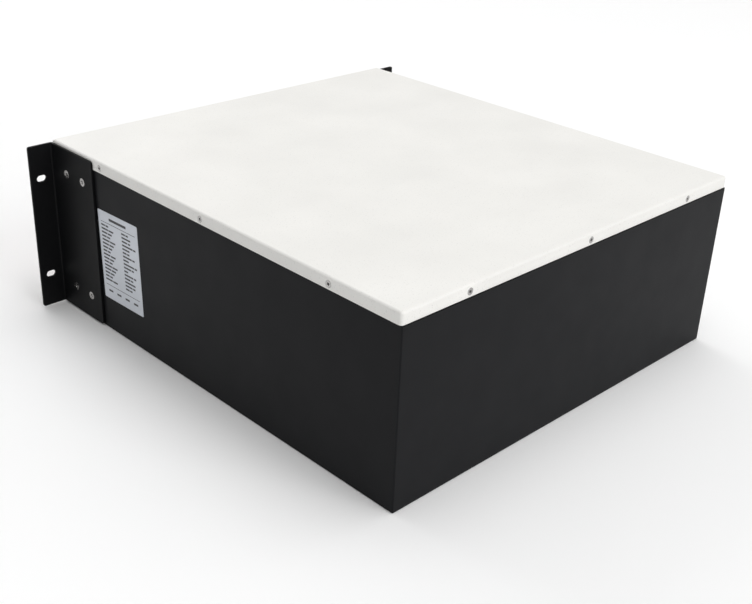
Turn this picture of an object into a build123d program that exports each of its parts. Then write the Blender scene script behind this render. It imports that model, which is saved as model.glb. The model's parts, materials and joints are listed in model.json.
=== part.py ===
"""A rack-mounted lithium iron phosphate battery pack, four rack units high.

X points right as seen from the front, Y from the front panel to the rear wall, and Z up.
The origin is the centre of the case's underside.  Lengths are in millimetres.
"""

import os

from build123d import *

os.makedirs("parts", exist_ok=True)

# ---- Case and cover
cover_width = 435.0
case_width = 434.0
case_depth = 475.0
case_height = 174.0
tray_sheet = 1.5
tray_bend = 1.2
cover_sheet = 1.2
cover_bend = 2.5
cover_corner = 3.0
skirt_bottom = 163.0
shoulder_height = 162.4
rim_top = 171.5
rim_half_width = 216.0
skirt_setback = 0.7
rim_gap = 0.3
rim_front_gap = 3.5
return_flange = 12.0

front_y = -case_depth / 2
rear_y = case_depth / 2
skirt_rear_y = rear_y - skirt_setback
rim_rear_y = skirt_rear_y - cover_sheet - rim_gap
rim_front_y = front_y + rim_front_gap
rim_corner = 1.6
cut_over = 5.0

# ---- Front panel
panel_sheet = 2.0
panel_half_width = 216.3
panel_bottom = 0.8
panel_top = 172.0
panel_corner = 1.5
panel_y = front_y - panel_sheet
fit_gap = 0.3

# ---- Rack ears
ear_sheet = 2.0
ear_pad_radius = 9.0
ear_bottom = 1.5
ear_height = 169.0
ear_reach = 244.0
ear_rear_y = -166.0
ear_outer_bend = 3.5
ear_inner_bend = 1.0
ear_plate_corner = 3.0
ear_flange_corner = 2.0
ear_middle = ear_bottom + ear_height / 2
slot_half_spacing_x = 465.1 / 2
slot_half_spacing_z = 101.6 / 2
slot_length = 10.0
slot_width = 6.5

# ---- Fasteners
m3 = 3.0
m3_head = 6.0
m4 = 4.0
m4_head = 8.0
m5 = 5.0
m5_head = 9.0
head_edge = 0.25
recess_span = 0.56
recess_width = 0.13
recess_depth = 0.2
screw_clearance = 0.1
case_screw_length = 8.0
clinch_nut_height = 3.0
clinch_nut_growth = 3.4
pan_head_height = 3.0

cover_screw_z = 167.5
cover_side_screw_y = (-155.0, 0.0, 160.0)
cover_rear_screw_x = (-151.0, -5.0, 145.0)
ear_screw_y = (-212.5, -184.5)
ear_screw_z = (26.5, 145.5)
panel_side_screw_x = 209.5
panel_side_screw_z = (20.0, 86.0, 150.0)
panel_edge_screw_x = 80.0
panel_low_screw_z = 7.5

# ---- Handles
handle_x = 198.0
handle_low = 41.0
handle_high = 131.0
handle_reach = 35.0
handle_radius = 5.0
handle_bend = 13.0
handle_foot_radius = 8.0
handle_foot = 2.5
handle_bore_depth = 14.0
handle_screw_gap = 2.0

# ---- Rating label
label_width = 66.0
label_height = 91.0
label_thickness = 0.2
label_y = -130.0
label_z = 81.0
label_turn = 1.7
label_corner = 1.5

# ---- Power terminals
terminal_x = {"negative": 48.0, "positive": 138.0}
terminal_z = 118.0
terminal_width = 84.0
terminal_height = 40.0
terminal_base = 6.0
terminal_corner = 3.0
boss_width = 64.0
boss_height = 22.0
boss_depth = 14.0
stud_radius = 4.0
stud_core_radius = 3.4
stud_half_pitch = 20.0
stud_reach = 20.0
stud_tail = 6.0
rib_thickness = 2.0
rib_height = 28.0
rib_reach = 13.0
terminal_nut_width = 13.0
terminal_nut_height = 6.5
terminal_nut_flange_radius = 8.6
terminal_nut_flange = 1.5
hood_wall = 2.0
hood_reach = 34.0
hood_gap = 0.6
hinge_rise = 23.6
hinge_reach = 3.5
barrel_radius = 3.0
hinge_pin_radius = 1.25
hinge_clearance = 0.05
barrel_half_length = 32.5
lug_end = 39.0
lug_start = 33.0
lug_web = 5.0

# ---- Breaker
breaker_x = -150.0
breaker_z = 99.0
breaker_half_width = 18.0
breaker_half_height = 40.0
breaker_depth = 46.0
nose_half_width = 17.8
nose_half_height = 22.3
nose_proud = 4.0
toggle_drum_radius = 10.0
toggle_drum_gap = 0.6
toggle_half_length = 14.8
toggle_slot_half_length = 15.2
toggle_depth = 6.0
toggle_lever_reach = 20.0
toggle_lever_half_thickness = 2.0
toggle_lever_round = 1.5
toggle_rest_angle = -40.0
toggle_pin_radius = 1.5
toggle_pin_half_length = 17.0

# ---- Buttons and keys
power_x = -150.0
power_z = 44.0
power_flange_radius = 9.5
power_flange = 2.5
power_flange_round = 0.8
power_barrel_radius = 7.9
power_barrel_depth = 20.0
power_nut_radius = 10.5
power_nut = 3.0
power_cap_radius = 5.8
power_cap_proud = 2.0
power_cap_round = 0.8
power_bore_radius = 6.1
power_bore_depth = 9.0
power_cap_length = 8.0
key_x = (-86.0, -70.0, -54.0, -38.0)
key_z = 98.0
key_radius = 3.1
key_hole_radius = 3.5
key_proud = 1.5
key_round = 0.6
key_collar_radius = 4.2
key_collar = 1.0
key_collar_gap = 0.2
reset_x = -80.0
reset_z = 44.0
reset_radius = 2.2
reset_hole_radius = 2.6
reset_recess = 0.4
switch_body = 7.0
switch_height = 5.0
switch_travel_gap = 1.2

# ---- Interface board and what it carries
board_left = -118.0
board_right = 8.0
board_low = 26.0
board_high = 152.0
board_front_y = -225.0
board_thickness = 1.6
board_corner = 2.0
standoff_radius = 3.0
standoff_inset = 5.0
window_x = -62.0
window_z = 128.0
window_width = 64.0
window_height = 30.0
window_thickness = 2.4
window_proud = 0.3
display_width = 70.0
display_height = 38.0
led_x = (-84.5, -75.5, -66.5, -57.5, -48.5, -39.5)
led_z = 76.0
led_radius = 1.5
led_proud = 0.7
led_round = 0.6
dip_x = -104.0
dip_z = 44.0
dip_width = 12.0
dip_height = 9.0
dip_front_y = -237.8
dip_pitch = 2.54
dip_slot_width = 1.7
dip_slot_height = 4.0
dip_slot_depth = 1.6
dip_slider_width = 1.3
dip_slider_height = 1.7
dip_slider_proud = 0.7
dip_count = 4
dip_slider_rest = 0.2
dip_slider_gap = 0.1
port_x = -29.0
port_z = 44.0
port_count = 4
port_pitch = 16.2
port_width = 16.0
port_height = 13.6
port_proud = 0.6
port_mouth_width = 11.9
port_mouth_height = 8.2
port_notch_width = 6.2
port_notch_height = 2.4
port_mouth_depth = 12.0
port_mouth_drop = 1.0

# ---- Earth stud
earth_x = 100.0
earth_z = 40.0
earth_radius = 3.0
earth_core_radius = 2.5
earth_reach = 14.0
earth_tail = 6.0
earth_nut_width = 10.0
earth_nut_height = 5.0
earth_washer_radius = 6.0
earth_washer = 1.2

# ---- Cells
cell_count = 8
cell_thickness = 50.0
cell_length = 160.0
cell_height = 118.5
cell_corner = 2.0
spacer = 1.0
cell_pitch = cell_thickness + spacer
row_length = cell_count * cell_pitch - spacer
row_y = {"front": -14.0, "rear": 150.0}
base_pad_thickness = 2.0
cell_bottom = tray_sheet + base_pad_thickness
cell_top = cell_bottom + cell_height
end_plate = 4.0
strap_thickness = 0.6
strap_width = 16.0
strap_z = (35.0, 95.0)
post_offset = 62.0
post_radius = 9.0
post_height = 3.0
post_stud_radius = 3.0
post_stud_rise = 16.0
post_stud_top = cell_top + post_stud_rise
busbar_thickness = 2.5
busbar_width = 20.0
busbar_round = 8.0
busbar_hole_radius = 3.3
busbar_nut_width = 10.0
busbar_nut_height = 5.0
sheet_thickness = 1.0
sheet_half_width = 204.0
sheet_notch_width = 34.0
sheet_notch_length = 46.0

# ---- Battery management unit
bracket_sheet = 1.5
bracket_y = -103.0
bracket_half_width = 150.0
bracket_height = 118.0
bracket_foot = 14.0
bms_width = 260.0
bms_height = 84.0
bms_z = 70.0
bms_thickness = 1.6
bms_y = -113.0
mosfet_count = 12
mosfet_pitch = 15.0
mosfet_width = 10.0
mosfet_height = 15.0
mosfet_depth = 4.5
mosfet_rows = (54.0, 86.0)
heatsink_width = 196.0
heatsink_height = 66.0
heatsink_base = 5.0
heatsink_depth = 18.0
fin_count = 13
fin_thickness = 1.5

# ---- Power cables, their lugs and the sense harness
cable_radius = 4.5
cable_bend = 22.0
cable_tight_bend = 14.0
lug_width = 16.0
lug_length = 30.0
lug_round = 7.6
lug_set = 14.0
lug_barrel_radius = 5.5
lug_barrel_top = 140.0
ferrule_length = 8.0
breaker_cable_x = -159.0
breaker_cable_y = -208.0
bms_pad_x = 116.0
bms_pad_z = 104.0
high_cable_z = 162.0
low_cable_z = 22.0
breaker_cable_bend = 10.0
wall_lane = 14.0
wall_lane_start = 40.0
wall_lane_end_y = -150.0
floor_lane_start = 45.0
floor_lane_end = 40.0
floor_lane_y = -165.0
riser_y = -170.0
bridge_drop = 4.0
bridge_reach = 52.0
bms_run_in = 35.0
bms_run_out = 40.0
stud_run_in = 30.0
harness_start = 30.0
harness_turn_y = 45.0
harness_run_y = 110.0
harness_radius = 2.5
harness_bend = 10.0
harness_z = 126.0
harness_end_x = 51.0
sense_plug_width = 30.0
sense_plug_height = 9.0
sense_plug_depth = 8.0

# ---- Turns that point a fastener's head out of each wall
facing_right = (0, 90, 0)
facing_left = (0, -90, 0)
facing_rear = (-90, 0, 0)
facing_front = (90, 0, 0)
facing_side = {-1: facing_left, 1: facing_right}


def save(builder, name):
    """Label a finished sub-part and write its own file."""
    builder.part.label = name
    export_step(builder.part, f"parts/{name}.step")


def looking_forward(y):
    """The plane at y that faces the front, with X to the right and Z up."""
    return Plane.XZ.offset(-y)


def looking_right(x):
    """The plane at x that faces right, with Y to the right and Z up."""
    return Plane.YZ.offset(x)


def screw_neck(thread, head):
    """How deep a countersunk head reaches."""
    return head_edge + (head - thread) / 2


def countersunk_screw(thread, head, length):
    """A cross-recessed screw, its head's flat face at z = 0 and its shank below."""
    with BuildPart() as screw:
        with BuildSketch(Plane.XZ):
            with BuildLine():
                Polyline(
                    (0, 0),
                    (head / 2, 0),
                    (head / 2, -head_edge),
                    (thread / 2, -screw_neck(thread, head)),
                    (thread / 2, -length),
                    (0, -length),
                    close=True,
                )
            make_face()
        revolve(axis=Axis.Z)
        with BuildSketch():
            Rectangle(recess_span * head, recess_width * head)
            Rectangle(recess_width * head, recess_span * head)
        extrude(amount=-recess_depth * head, mode=Mode.SUBTRACT)
    return screw.part


def countersink(thread, head, depth):
    """The space such a screw needs in the sheets that it joins."""
    edge = head / 2 + screw_clearance
    shank = thread / 2 + screw_clearance
    with BuildPart() as space:
        with BuildSketch(Plane.XZ):
            with BuildLine():
                Polyline(
                    (0, cut_over),
                    (edge, cut_over),
                    (edge, -head_edge),
                    (shank, -screw_neck(thread, head)),
                    (shank, -depth),
                    (0, -depth),
                    close=True,
                )
            make_face()
        revolve(axis=Axis.Z)
    return space.part


def clinch_nut(thread, depth):
    """A round self-clinching nut, from depth to its own height deeper along -Z."""
    with BuildPart() as nut:
        with BuildSketch(Plane.XY.offset(-depth)):
            Circle((thread + clinch_nut_growth) / 2)
            Circle(thread / 2 + screw_clearance, mode=Mode.SUBTRACT)
        extrude(amount=-clinch_nut_height)
    return nut.part


# ---- Where the screws are
side_x = cover_width / 2
ear_face_x = side_x + ear_sheet
ear_pad = side_x - case_width / 2
cover_side_places = [
    Location((side * side_x, y, cover_screw_z), facing_side[side])
    for side in (-1, 1)
    for y in cover_side_screw_y
]
cover_rear_places = [
    Location((x, skirt_rear_y, cover_screw_z), facing_rear) for x in cover_rear_screw_x
]
cover_places = cover_side_places + cover_rear_places
ear_places = {
    side: [
        Location((side * ear_face_x, y, z), facing_side[side])
        for y in ear_screw_y
        for z in ear_screw_z
    ]
    for side in (-1, 1)
}
panel_flange_places = [
    Location((side * panel_side_screw_x, panel_y, z), facing_front)
    for side in (-1, 1)
    for z in panel_side_screw_z
]
panel_flange_places += [
    Location((side * panel_edge_screw_x, panel_y, panel_low_screw_z), facing_front)
    for side in (-1, 1)
]
panel_lip_places = [
    Location((side * panel_edge_screw_x, panel_y, cover_screw_z), facing_front)
    for side in (-1, 1)
]
handle_places = [
    (side * handle_x, z) for side in (-1, 1) for z in (handle_low, handle_high)
]
m3_space = countersink(m3, m3_head, case_screw_length)
m4_space = countersink(m4, m4_head, case_screw_length)

# ---- Chassis tray: floor, sides, rear wall, stepped rim and front return flange
with BuildPart() as chassis_tray:
    with BuildSketch():
        Rectangle(case_width, case_depth)
    extrude(amount=shoulder_height)
    bent_edges = chassis_tray.edges().filter_by_position(Axis.Y, front_y + 1, rear_y + 1)
    fillet(bent_edges, radius=tray_bend)
    with BuildSketch(Plane.XY.offset(tray_sheet)):
        with Locations((0, -tray_sheet)):
            Rectangle(case_width - 2 * tray_sheet, case_depth)
    extrude(amount=shoulder_height - 2 * tray_sheet, mode=Mode.SUBTRACT)
    rim_bottom = shoulder_height - tray_sheet
    with BuildSketch(Plane.XY.offset(rim_bottom)):
        with Locations((0, (rim_front_y + rim_rear_y) / 2)):
            RectangleRounded(2 * rim_half_width, rim_rear_y - rim_front_y, rim_corner)
    extrude(amount=rim_top - rim_bottom)
    with BuildSketch(Plane.XY.offset(rim_bottom)):
        with Locations((0, (front_y - cut_over + rim_rear_y - tray_sheet) / 2)):
            Rectangle(
                2 * (rim_half_width - tray_sheet),
                rim_rear_y - tray_sheet - front_y + cut_over,
            )
    extrude(amount=rim_top - rim_bottom, mode=Mode.SUBTRACT)
    with BuildSketch(looking_forward(front_y + tray_sheet)):
        with Locations((0, (tray_sheet + rim_bottom) / 2)):
            Rectangle(case_width - 2 * tray_sheet, rim_bottom - tray_sheet)
        with Locations((0, (return_flange + tray_sheet + case_height) / 2)):
            Rectangle(
                case_width - 2 * (tray_sheet + return_flange),
                case_height - return_flange - tray_sheet,
                mode=Mode.SUBTRACT,
            )
    extrude(amount=tray_sheet)
    # Raised pads hold each ear level with the cover's skirt.
    for side in (-1, 1):
        with BuildSketch(looking_right(side * case_width / 2)):
            with Locations(*[(y, z) for y in ear_screw_y for z in ear_screw_z]):
                Circle(ear_pad_radius)
        extrude(amount=side * ear_pad)
    with Locations(*cover_places, *panel_flange_places):
        add(m3_space, mode=Mode.SUBTRACT)
    with Locations(*ear_places[-1], *ear_places[1]):
        add(m4_space, mode=Mode.SUBTRACT)
save(chassis_tray, "chassis_tray")

# ---- Top cover: a shallow pan whose skirt hangs over the tray's rim
with BuildPart() as top_cover:
    with BuildSketch(Plane.XY.offset(skirt_bottom)):
        with Locations((0, (front_y + skirt_rear_y) / 2)):
            RectangleRounded(cover_width, skirt_rear_y - front_y, cover_corner)
    extrude(amount=case_height - skirt_bottom)
    fillet(top_cover.faces().sort_by(Axis.Z)[-1].edges(), radius=cover_bend)
    offset(amount=-cover_sheet, openings=top_cover.faces().sort_by(Axis.Z)[0])
    with Locations(*cover_places, *panel_lip_places):
        add(m3_space, mode=Mode.SUBTRACT)
save(top_cover, "top_cover")

# ---- Front panel with its openings
with BuildPart() as front_panel:
    with BuildSketch(looking_forward(front_y)):
        with Locations((0, (panel_bottom + panel_top) / 2)):
            RectangleRounded(2 * panel_half_width, panel_top - panel_bottom, panel_corner)
        with Locations((breaker_x, breaker_z)):
            Rectangle(
                2 * (nose_half_width + fit_gap), 2 * (nose_half_height + fit_gap), mode=Mode.SUBTRACT
            )
        with Locations(*[(x, terminal_z) for x in terminal_x.values()]):
            Rectangle(boss_width + 2 * fit_gap, boss_height + 2 * fit_gap, mode=Mode.SUBTRACT)
        with Locations((window_x, window_z)):
            Rectangle(window_width + 2 * fit_gap, window_height + 2 * fit_gap, mode=Mode.SUBTRACT)
        with Locations((dip_x, dip_z)):
            Rectangle(dip_width + 2 * fit_gap, dip_height + 2 * fit_gap, mode=Mode.SUBTRACT)
        with Locations((port_x, port_z)):
            Rectangle(
                port_count * port_pitch + fit_gap, port_height + 2 * fit_gap, mode=Mode.SUBTRACT
            )
        with Locations((power_x, power_z)):
            Circle(power_barrel_radius + fit_gap, mode=Mode.SUBTRACT)
        with Locations(*[(x, key_z) for x in key_x]):
            Circle(key_hole_radius, mode=Mode.SUBTRACT)
        with Locations((reset_x, reset_z)):
            Circle(reset_hole_radius, mode=Mode.SUBTRACT)
        with Locations(*[(x, led_z) for x in led_x]):
            Circle(led_radius + screw_clearance, mode=Mode.SUBTRACT)
        with Locations((earth_x, earth_z)):
            Circle(earth_radius + screw_clearance, mode=Mode.SUBTRACT)
        with Locations(*handle_places):
            Circle(m5 / 2 + screw_clearance, mode=Mode.SUBTRACT)
    extrude(amount=panel_sheet)
    with Locations(*panel_flange_places, *panel_lip_places):
        add(m3_space, mode=Mode.SUBTRACT)
save(front_panel, "front_panel")


def rack_ear(side):
    """One rack ear: a side plate bent out into a slotted flange."""
    inner_x = side * side_x
    outer_x = side * ear_face_x
    flange_x = side * ear_reach
    flange_rear_y = panel_y + ear_sheet
    with BuildPart() as ear:
        with BuildSketch(Plane.XY.offset(ear_bottom)):
            with BuildLine():
                Polyline(
                    (inner_x, panel_y),
                    (flange_x, panel_y),
                    (flange_x, flange_rear_y),
                    (outer_x, flange_rear_y),
                    (outer_x, ear_rear_y),
                    (inner_x, ear_rear_y),
                    close=True,
                )
            make_face()
        extrude(amount=ear_height)
        upright = ear.edges().filter_by(Axis.Z)
        fillet(upright.sort_by_distance((inner_x, panel_y, ear_middle))[0], radius=ear_outer_bend)
        upright = ear.edges().filter_by(Axis.Z)
        fillet(
            upright.sort_by_distance((outer_x, flange_rear_y, ear_middle))[0], radius=ear_inner_bend
        )
        fillet(ear.edges().filter_by(Axis.X).group_by(Axis.Y)[-1], radius=ear_plate_corner)
        across = ear.edges().filter_by(Axis.Y)
        tip = across.group_by(Axis.X)[-1 if side > 0 else 0]
        fillet(tip, radius=ear_flange_corner)
        with BuildSketch(looking_forward(flange_rear_y)):
            with Locations(
                *[
                    (side * slot_half_spacing_x, ear_middle + step * slot_half_spacing_z)
                    for step in (-1, 1)
                ]
            ):
                SlotOverall(slot_length, slot_width)
        extrude(amount=ear_sheet, mode=Mode.SUBTRACT)
        with Locations(*ear_places[side]):
            add(m4_space, mode=Mode.SUBTRACT)
    return ear


save(rack_ear(-1), "rack_ear_left")
save(rack_ear(1), "rack_ear_right")

# ---- Case fasteners
with BuildPart() as cover_screws:
    with Locations(*cover_places):
        add(countersunk_screw(m3, m3_head, case_screw_length))
save(cover_screws, "cover_screws")

with BuildPart() as ear_screws:
    with Locations(*ear_places[-1], *ear_places[1]):
        add(countersunk_screw(m4, m4_head, case_screw_length))
save(ear_screws, "ear_screws")

with BuildPart() as panel_screws:
    with Locations(*panel_flange_places, *panel_lip_places):
        add(countersunk_screw(m3, m3_head, case_screw_length))
save(panel_screws, "panel_screws")

with BuildPart() as clinch_nuts:
    with Locations(*cover_side_places):
        add(clinch_nut(m3, side_x - rim_half_width + tray_sheet))
    with Locations(*cover_rear_places):
        add(clinch_nut(m3, skirt_rear_y - rim_rear_y + tray_sheet))
    with Locations(*ear_places[-1], *ear_places[1]):
        add(clinch_nut(m4, ear_sheet + ear_pad + tray_sheet))
    with Locations(*panel_flange_places):
        add(clinch_nut(m3, panel_sheet + tray_sheet))
    with Locations(*panel_lip_places):
        add(clinch_nut(m3, panel_sheet + cover_sheet))
save(clinch_nuts, "clinch_nuts")


def front_handle(x):
    """One bow handle: a round bar on two foot discs, tapped for screws from behind."""
    bar_y = panel_y - handle_reach
    with BuildPart() as bow:
        with BuildLine():
            FilletPolyline(
                (x, panel_y, handle_low),
                (x, bar_y, handle_low),
                (x, bar_y, handle_high),
                (x, panel_y, handle_high),
                radius=handle_bend,
            )
        with BuildSketch(looking_forward(panel_y)):
            with Locations((x, handle_low)):
                Circle(handle_radius)
        sweep()
        with BuildSketch(looking_forward(panel_y)):
            with Locations((x, handle_low), (x, handle_high)):
                Circle(handle_foot_radius)
        extrude(amount=handle_foot)
        with BuildSketch(looking_forward(panel_y)):
            with Locations((x, handle_low), (x, handle_high)):
                Circle(m5 / 2 + screw_clearance)
        extrude(amount=handle_bore_depth, mode=Mode.SUBTRACT)
    return bow


save(front_handle(-handle_x), "handle_left")
save(front_handle(handle_x), "handle_right")

with BuildPart() as handle_screws:
    with BuildSketch(looking_forward(front_y)):
        with Locations(*handle_places):
            Circle(m5 / 2)
    extrude(amount=panel_sheet + handle_bore_depth - handle_screw_gap)
    with BuildSketch(looking_forward(front_y)):
        with Locations(*handle_places):
            Circle(m5_head / 2)
    extrude(amount=-pan_head_height)
save(handle_screws, "handle_screws")

# ---- Rating label on the right-hand side wall
with BuildPart() as rating_label:
    with BuildSketch(looking_right(case_width / 2)):
        with Locations(Location((label_y, label_z), label_turn)):
            RectangleRounded(label_width, label_height, label_corner)
    extrude(amount=label_thickness)
save(rating_label, "rating_label")


# ---- Power terminals
base_front_y = panel_y - terminal_base
hinge_y = panel_y - hinge_reach
hinge_z = terminal_z + hinge_rise


def terminal_insulator(x):
    """The moulded base of one pole, with its boss through the panel and its hinge lugs."""
    with BuildPart() as base:
        with BuildSketch(looking_forward(panel_y)):
            with Locations((x, terminal_z)):
                RectangleRounded(terminal_width, terminal_height, terminal_corner)
        extrude(amount=terminal_base)
        with BuildSketch(looking_forward(panel_y)):
            with Locations((x, terminal_z)):
                Rectangle(boss_width, boss_height)
        extrude(amount=-boss_depth)
        with BuildSketch(looking_forward(base_front_y)):
            with Locations((x, terminal_z)):
                Rectangle(rib_thickness, rib_height)
        extrude(amount=rib_reach)
        for start in (x - lug_end, x + lug_start):
            with BuildSketch(looking_right(start)):
                with Locations((hinge_y, hinge_z)):
                    Circle(barrel_radius)
                with Locations((hinge_y, (hinge_z + terminal_z) / 2)):
                    Rectangle(lug_web, hinge_rise)
                with Locations((hinge_y, hinge_z)):
                    Circle(hinge_pin_radius, mode=Mode.SUBTRACT)
            extrude(amount=lug_end - lug_start)
        with BuildSketch(looking_forward(panel_y + boss_depth)):
            with Locations((x - stud_half_pitch, terminal_z), (x + stud_half_pitch, terminal_z)):
                Circle(stud_core_radius + hinge_clearance)
        extrude(amount=boss_depth + terminal_base, mode=Mode.SUBTRACT)
    return base


def terminal_hood(x):
    """The flip-up cover of one pole: a hood open below and behind, with its hinge barrel."""
    rear_y_of_hood = base_front_y - hood_gap
    length = hood_reach - terminal_base - hood_gap
    with BuildPart() as hood:
        with BuildSketch(looking_forward(rear_y_of_hood)):
            with Locations((x, terminal_z)):
                RectangleRounded(terminal_width, terminal_height, terminal_corner)
        extrude(amount=length)
        fillet(hood.faces().sort_by(Axis.Y)[0].edges(), radius=terminal_corner / 2)
        with BuildSketch(looking_forward(rear_y_of_hood)):
            with Locations((x, terminal_z - hood_wall)):
                Rectangle(terminal_width - 2 * hood_wall, terminal_height)
        extrude(amount=length - hood_wall, mode=Mode.SUBTRACT)
        with BuildSketch(looking_right(x - barrel_half_length)):
            with Locations((hinge_y, hinge_z)):
                Circle(barrel_radius)
            with BuildLine():
                Polyline(
                    (hinge_y, hinge_z),
                    (hinge_y, hinge_z - barrel_radius),
                    (rear_y_of_hood, hinge_z - barrel_radius),
                    (rear_y_of_hood, terminal_z + terminal_height / 2 - hood_wall),
                    (rear_y_of_hood - barrel_radius, terminal_z + terminal_height / 2 - hood_wall),
                    (rear_y_of_hood - barrel_radius, hinge_z - barrel_radius / 2),
                    close=True,
                )
            make_face()
            with Locations((hinge_y, hinge_z)):
                Circle(hinge_pin_radius + hinge_clearance, mode=Mode.SUBTRACT)
        extrude(amount=2 * barrel_half_length)
    return hood


for pole, pole_x in terminal_x.items():
    save(terminal_insulator(pole_x), f"terminal_base_{pole}")
    save(terminal_hood(pole_x), f"terminal_cover_{pole}")

stud_places = [
    (x + side * stud_half_pitch, terminal_z) for x in terminal_x.values() for side in (-1, 1)
]
nut_front_y = base_front_y - terminal_nut_height
with BuildPart() as terminal_studs:
    with BuildSketch(looking_forward(panel_y + boss_depth + stud_tail)):
        with Locations(*stud_places):
            Circle(stud_core_radius)
    extrude(amount=panel_y + boss_depth + stud_tail - nut_front_y)
    with BuildSketch(looking_forward(nut_front_y)):
        with Locations(*stud_places):
            Circle(stud_radius)
    extrude(amount=nut_front_y - base_front_y + stud_reach)
save(terminal_studs, "terminal_studs")

with BuildPart() as terminal_nuts:
    with BuildSketch(looking_forward(base_front_y)):
        with Locations(*stud_places):
            Circle(terminal_nut_flange_radius)
    extrude(amount=terminal_nut_flange)
    with BuildSketch(looking_forward(base_front_y)):
        with Locations(*stud_places):
            RegularPolygon(terminal_nut_width / 2, 6, major_radius=False)
    extrude(amount=terminal_nut_height)
    with BuildSketch(looking_forward(base_front_y)):
        with Locations(*stud_places):
            Circle(stud_core_radius + hinge_clearance)
    extrude(amount=terminal_nut_height, mode=Mode.SUBTRACT)
save(terminal_nuts, "terminal_nuts")

# ---- Two-pole breaker behind the panel, its nose through it
nose_front_y = panel_y - nose_proud
drum_y = nose_front_y + toggle_depth
body_front_y = front_y + fit_gap
with BuildPart() as breaker_body:
    with BuildSketch(looking_forward(body_front_y + breaker_depth)):
        with Locations((breaker_x, breaker_z)):
            Rectangle(2 * breaker_half_width, 2 * breaker_half_height)
    extrude(amount=breaker_depth)
    with BuildSketch(looking_forward(body_front_y)):
        with Locations((breaker_x, breaker_z)):
            Rectangle(2 * nose_half_width, 2 * nose_half_height)
    extrude(amount=body_front_y - nose_front_y)
    with BuildSketch(looking_right(breaker_x - toggle_slot_half_length)):
        with Locations((drum_y, breaker_z)):
            Circle(toggle_drum_radius + toggle_drum_gap)
    extrude(amount=2 * toggle_slot_half_length, mode=Mode.SUBTRACT)
    with BuildSketch(looking_right(breaker_x - toggle_pin_half_length)):
        with Locations((drum_y, breaker_z)):
            Circle(toggle_pin_radius)
    extrude(amount=2 * toggle_pin_half_length, mode=Mode.SUBTRACT)
save(breaker_body, "breaker_body")

with BuildPart() as breaker_toggle:
    with BuildSketch(looking_right(breaker_x - toggle_half_length)):
        with Locations((drum_y, breaker_z)):
            Circle(toggle_drum_radius)
        with Locations(Location((drum_y, breaker_z), -toggle_rest_angle)):
            with Locations((-toggle_lever_reach / 2, 0)):
                RectangleRounded(
                    toggle_lever_reach, 2 * toggle_lever_half_thickness, toggle_lever_round
                )
        with Locations((drum_y, breaker_z)):
            Circle(toggle_pin_radius + hinge_clearance, mode=Mode.SUBTRACT)
    extrude(amount=2 * toggle_half_length)
save(breaker_toggle, "breaker_toggle")

with BuildPart() as hinge_pins:
    for pole_x in terminal_x.values():
        with BuildSketch(looking_right(pole_x - lug_end)):
            with Locations((hinge_y, hinge_z)):
                Circle(hinge_pin_radius)
        extrude(amount=2 * lug_end)
    with BuildSketch(looking_right(breaker_x - toggle_pin_half_length)):
        with Locations((drum_y, breaker_z)):
            Circle(toggle_pin_radius)
    extrude(amount=2 * toggle_pin_half_length)
save(hinge_pins, "hinge_pins")

# ---- Power button
power_front_y = panel_y - power_flange
with BuildPart() as power_button_housing:
    with BuildSketch(looking_forward(panel_y)):
        with Locations((power_x, power_z)):
            Circle(power_flange_radius)
    extrude(amount=power_flange)
    fillet(power_button_housing.faces().sort_by(Axis.Y)[0].edges(), radius=power_flange_round)
    with BuildSketch(looking_forward(panel_y)):
        with Locations((power_x, power_z)):
            Circle(power_barrel_radius)
    extrude(amount=-power_barrel_depth)
    with BuildSketch(looking_forward(power_front_y)):
        with Locations((power_x, power_z)):
            Circle(power_bore_radius)
    extrude(amount=-power_bore_depth, mode=Mode.SUBTRACT)
save(power_button_housing, "power_button_housing")

with BuildPart() as power_button:
    with BuildSketch(looking_forward(power_front_y - power_cap_proud)):
        with Locations((power_x, power_z)):
            Circle(power_cap_radius)
    extrude(amount=-power_cap_length)
    fillet(power_button.faces().sort_by(Axis.Y)[0].edges(), radius=power_cap_round)
save(power_button, "power_button")

# ---- Menu keys and reset button, on tact switches on the interface board
switch_front_y = board_front_y - switch_height
key_collar_y = front_y + key_collar_gap
for number, x in enumerate(key_x, start=1):
    with BuildPart() as menu_key:
        with BuildSketch(looking_forward(switch_front_y - switch_travel_gap)):
            with Locations((x, key_z)):
                Circle(key_radius)
        extrude(amount=switch_front_y - switch_travel_gap - panel_y + key_proud)
        fillet(menu_key.faces().sort_by(Axis.Y)[0].edges(), radius=key_round)
        with BuildSketch(looking_forward(key_collar_y)):
            with Locations((x, key_z)):
                Circle(key_collar_radius)
        extrude(amount=-key_collar)
    save(menu_key, f"menu_key_{number}")

with BuildPart() as reset_button:
    with BuildSketch(looking_forward(switch_front_y - switch_travel_gap)):
        with Locations((reset_x, reset_z)):
            Circle(reset_radius)
    extrude(amount=switch_front_y - switch_travel_gap - panel_y - reset_recess)
    with BuildSketch(looking_forward(key_collar_y)):
        with Locations((reset_x, reset_z)):
            Circle(key_collar_radius)
    extrude(amount=-key_collar)
save(reset_button, "reset_button")

with BuildPart() as tact_switches:
    with BuildSketch(looking_forward(board_front_y)):
        with Locations(*[(x, key_z) for x in key_x], (reset_x, reset_z)):
            Rectangle(switch_body, switch_body)
    extrude(amount=switch_height)
save(tact_switches, "tact_switches")

# ---- Interface board
with BuildPart() as interface_board:
    with BuildSketch(looking_forward(board_front_y)):
        with Locations(((board_left + board_right) / 2, (board_low + board_high) / 2)):
            RectangleRounded(board_right - board_left, board_high - board_low, board_corner)
    extrude(amount=-board_thickness)
save(interface_board, "interface_board")

window_front_y = panel_y - window_proud
window_rear_y = window_front_y + window_thickness
with BuildPart() as display_window:
    with BuildSketch(looking_forward(window_rear_y)):
        with Locations((window_x, window_z)):
            Rectangle(window_width, window_height)
    extrude(amount=window_thickness)
save(display_window, "display_window")

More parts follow.
